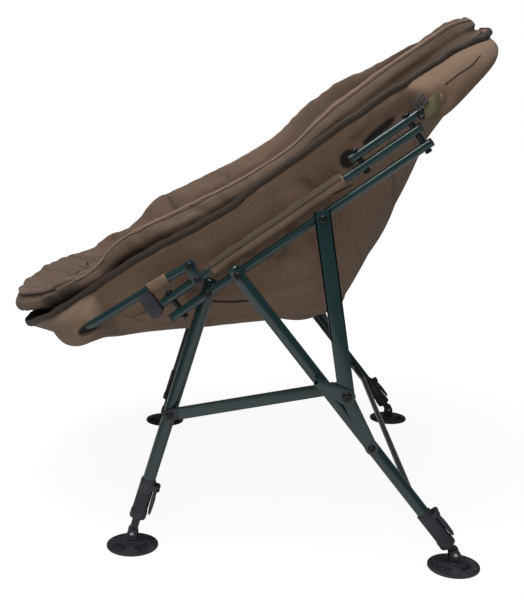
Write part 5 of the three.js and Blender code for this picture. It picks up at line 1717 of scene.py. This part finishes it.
STRAP_X, STRAP_HALF = RAIL_X + 9.5, 13
h = STRAP_HALF
strap_section = [(0.8, -h), (1.2, 0), (0.8, h), (-0.8, h), (-0.4, 0), (-0.8, -h)]
strap_rows = []
for i, (u, n) in enumerate(spread([(486, 54), (484, 51), (480, 44), (476, 36), (474, 31)], 26)):
    bow = 1.6 * math.sin(i / 25 * math.pi) - max(0, i - 22)
    strap_rows.append([on_rail(STRAP_X + bow + out, u + along, n) for out, along in strap_section])
cloth_pair("rear_strap", np.array(strap_rows), WEBBING, "seat_frame")

buckle_axes = [unit(0.98 * ALONG + 0.18 * SQUARE), unit(0.18 * ALONG - 0.98 * SQUARE)]
buckle_centre = on_rail(STRAP_X + 3.4, 468, 57)
buckle = []
for along, down, halves in (
    (0, -6, (10.5, 1.5, 1.9)),
    (0, 6, (10.5, 1.5, 1.9)),
    (-9.4, 0, (1.3, 6.4, 1.6)),
    (-3.0, 0, (1.3, 6.4, 1.6)),
    (3.2, 0, (1.3, 6.4, 1.6)),
    (9.4, 0, (1.3, 6.4, 1.6)),
):
    centre = buckle_centre + along * buckle_axes[0] + down * buckle_axes[1]
    buckle.append(block(centre, buckle_axes, halves, BUCKLE_PLASTIC))
pair("strap_buckle", buckle, "seat_frame", extra=True, bevel=0.5, slot="seat_canvas")
ring_centre = on_rail(RAIL_X + 7.5, 461, 41)
ring_places = arc((0, 0), 5.2, 0, 2 * math.pi, 32)
ring_points = [ring_centre + up * SQUARE + along * ALONG for up, along in ring_places]
ring_body = tube(ring_points, 1.4, BOLT_BLACK, 12)
pair("strap_ring", [ring_body], "seat_frame", extra=True, slot="black_hardware")

# %% Seams on the bag
def wall_seam(name, corners, radius, count=60):
    path = on_wall(spread(corners, count), 0.8)
    cloth_pair(name, swept(path, ring_section(radius, radius * 0.7, 8), up=ACROSS), DARK_THREAD)


wall_seam("rear_seam", [(512, 57), (540, 57), (560, 55), (585, 58)], 0.9)
wall_seam("lower_seam", [(48, -17), (80, -43), (112, -61)], 1.5, 30)
wall_seam("bag_seam_mid", [(150, 22), (240, 20), (330, 6)], 0.7)
wall_seam("bag_seam_fore", [(-60, 26), (0, 14), (60, 18)], 0.7)
print("sleeves, pockets and strap made")

# %% [markdown]
# ## Floor and light
# The photograph is a cut-out on white with almost no shadow, lit from above and a little from
# the camera's side. The floor and the world show white to the camera only,
# while their light on the chair stays at a plain level. The floor keeps a faint shadow.

# %% Floor
def pale_floor():
    finish = Finish("pale_floor", Roughness=0.9)
    finish.shader.inputs["Base Color"].default_value = (0.8, 0.8, 0.8, 1)
    glow = finish.node("ShaderNodeEmission", None, {"Color": (1, 1, 1, 1), "Strength": 1.07})
    ray = finish.node("ShaderNodeLightPath")
    outputs = ray.socket.node.outputs
    seen = Wire(finish, outputs["Is Camera Ray"]) + Wire(finish, outputs["Is Transmission Ray"])
    tree = finish.tree
    both = tree.nodes.new("ShaderNodeMixShader")
    x, y, _ = finish.split(finish.place())
    far = finish.ramp(x * x + y * y, 0.6, 2.6)
    tree.links.new((seen * (0.86 + 0.14 * far)).socket, both.inputs[0])
    tree.links.new(finish.shader.outputs[0], both.inputs[1])
    tree.links.new(glow.socket, both.inputs[2])
    tree.links.new(both.outputs[0], tree.nodes["Material Output"].inputs[0])
    return finish.material


FLOOR_HALF = 9.0
corners = [(a * FLOOR_HALF, b * FLOOR_HALF, 0) for a, b in ((-1, -1), (1, -1), (1, 1), (-1, 1))]
floor_mesh = bpy.data.meshes.new("floor")
floor_mesh.from_pydata(corners, [], [[0, 1, 2, 3]])
floor_mesh.materials.append(pale_floor())
floor = placed("floor", floor_mesh)
floor.location.z = -0.0005

# %% World and lamps
world = bpy.data.worlds.new("studio")
bpy.context.scene.world = world
world.use_nodes = True
tree = world.node_tree
back = tree.nodes["Background"]
back.inputs[0].default_value = (1, 1, 1, 1)
ray = tree.nodes.new("ShaderNodeLightPath")
seen = tree.nodes.new("ShaderNodeMath")
seen.operation = "MAXIMUM"
tree.links.new(ray.outputs["Is Camera Ray"], seen.inputs[0])
tree.links.new(ray.outputs["Is Transmission Ray"], seen.inputs[1])
strength = tree.nodes.new("ShaderNodeMapRange")
strength.inputs["To Min"].default_value = 0.14
tree.links.new(seen.outputs[0], strength.inputs["Value"])
tree.links.new(strength.outputs[0], back.inputs[1])


AIM = (0, 0, 0.4)


def soft_lamp(name, place, size, power):
    data = bpy.data.lights.new(name, "AREA")
    data.shape = "RECTANGLE"
    data.size, data.size_y = size
    data.energy = power
    lamp = placed(name, data)
    lamp.location = place
    lamp.rotation_euler = (Vector(AIM) - Vector(place)).to_track_quat("-Z", "Y").to_euler()
    return lamp


soft_lamp("overhead_box", (0.5, -0.3, 2.6), (1.3, 1.7), 66)
side_lamp = soft_lamp("camera_side_box", (2.7, -0.3, 1.9), (1.1, 1.1), 42)
side_lamp.visible_glossy = False
bpy.context.scene.view_settings.view_transform = "Standard"
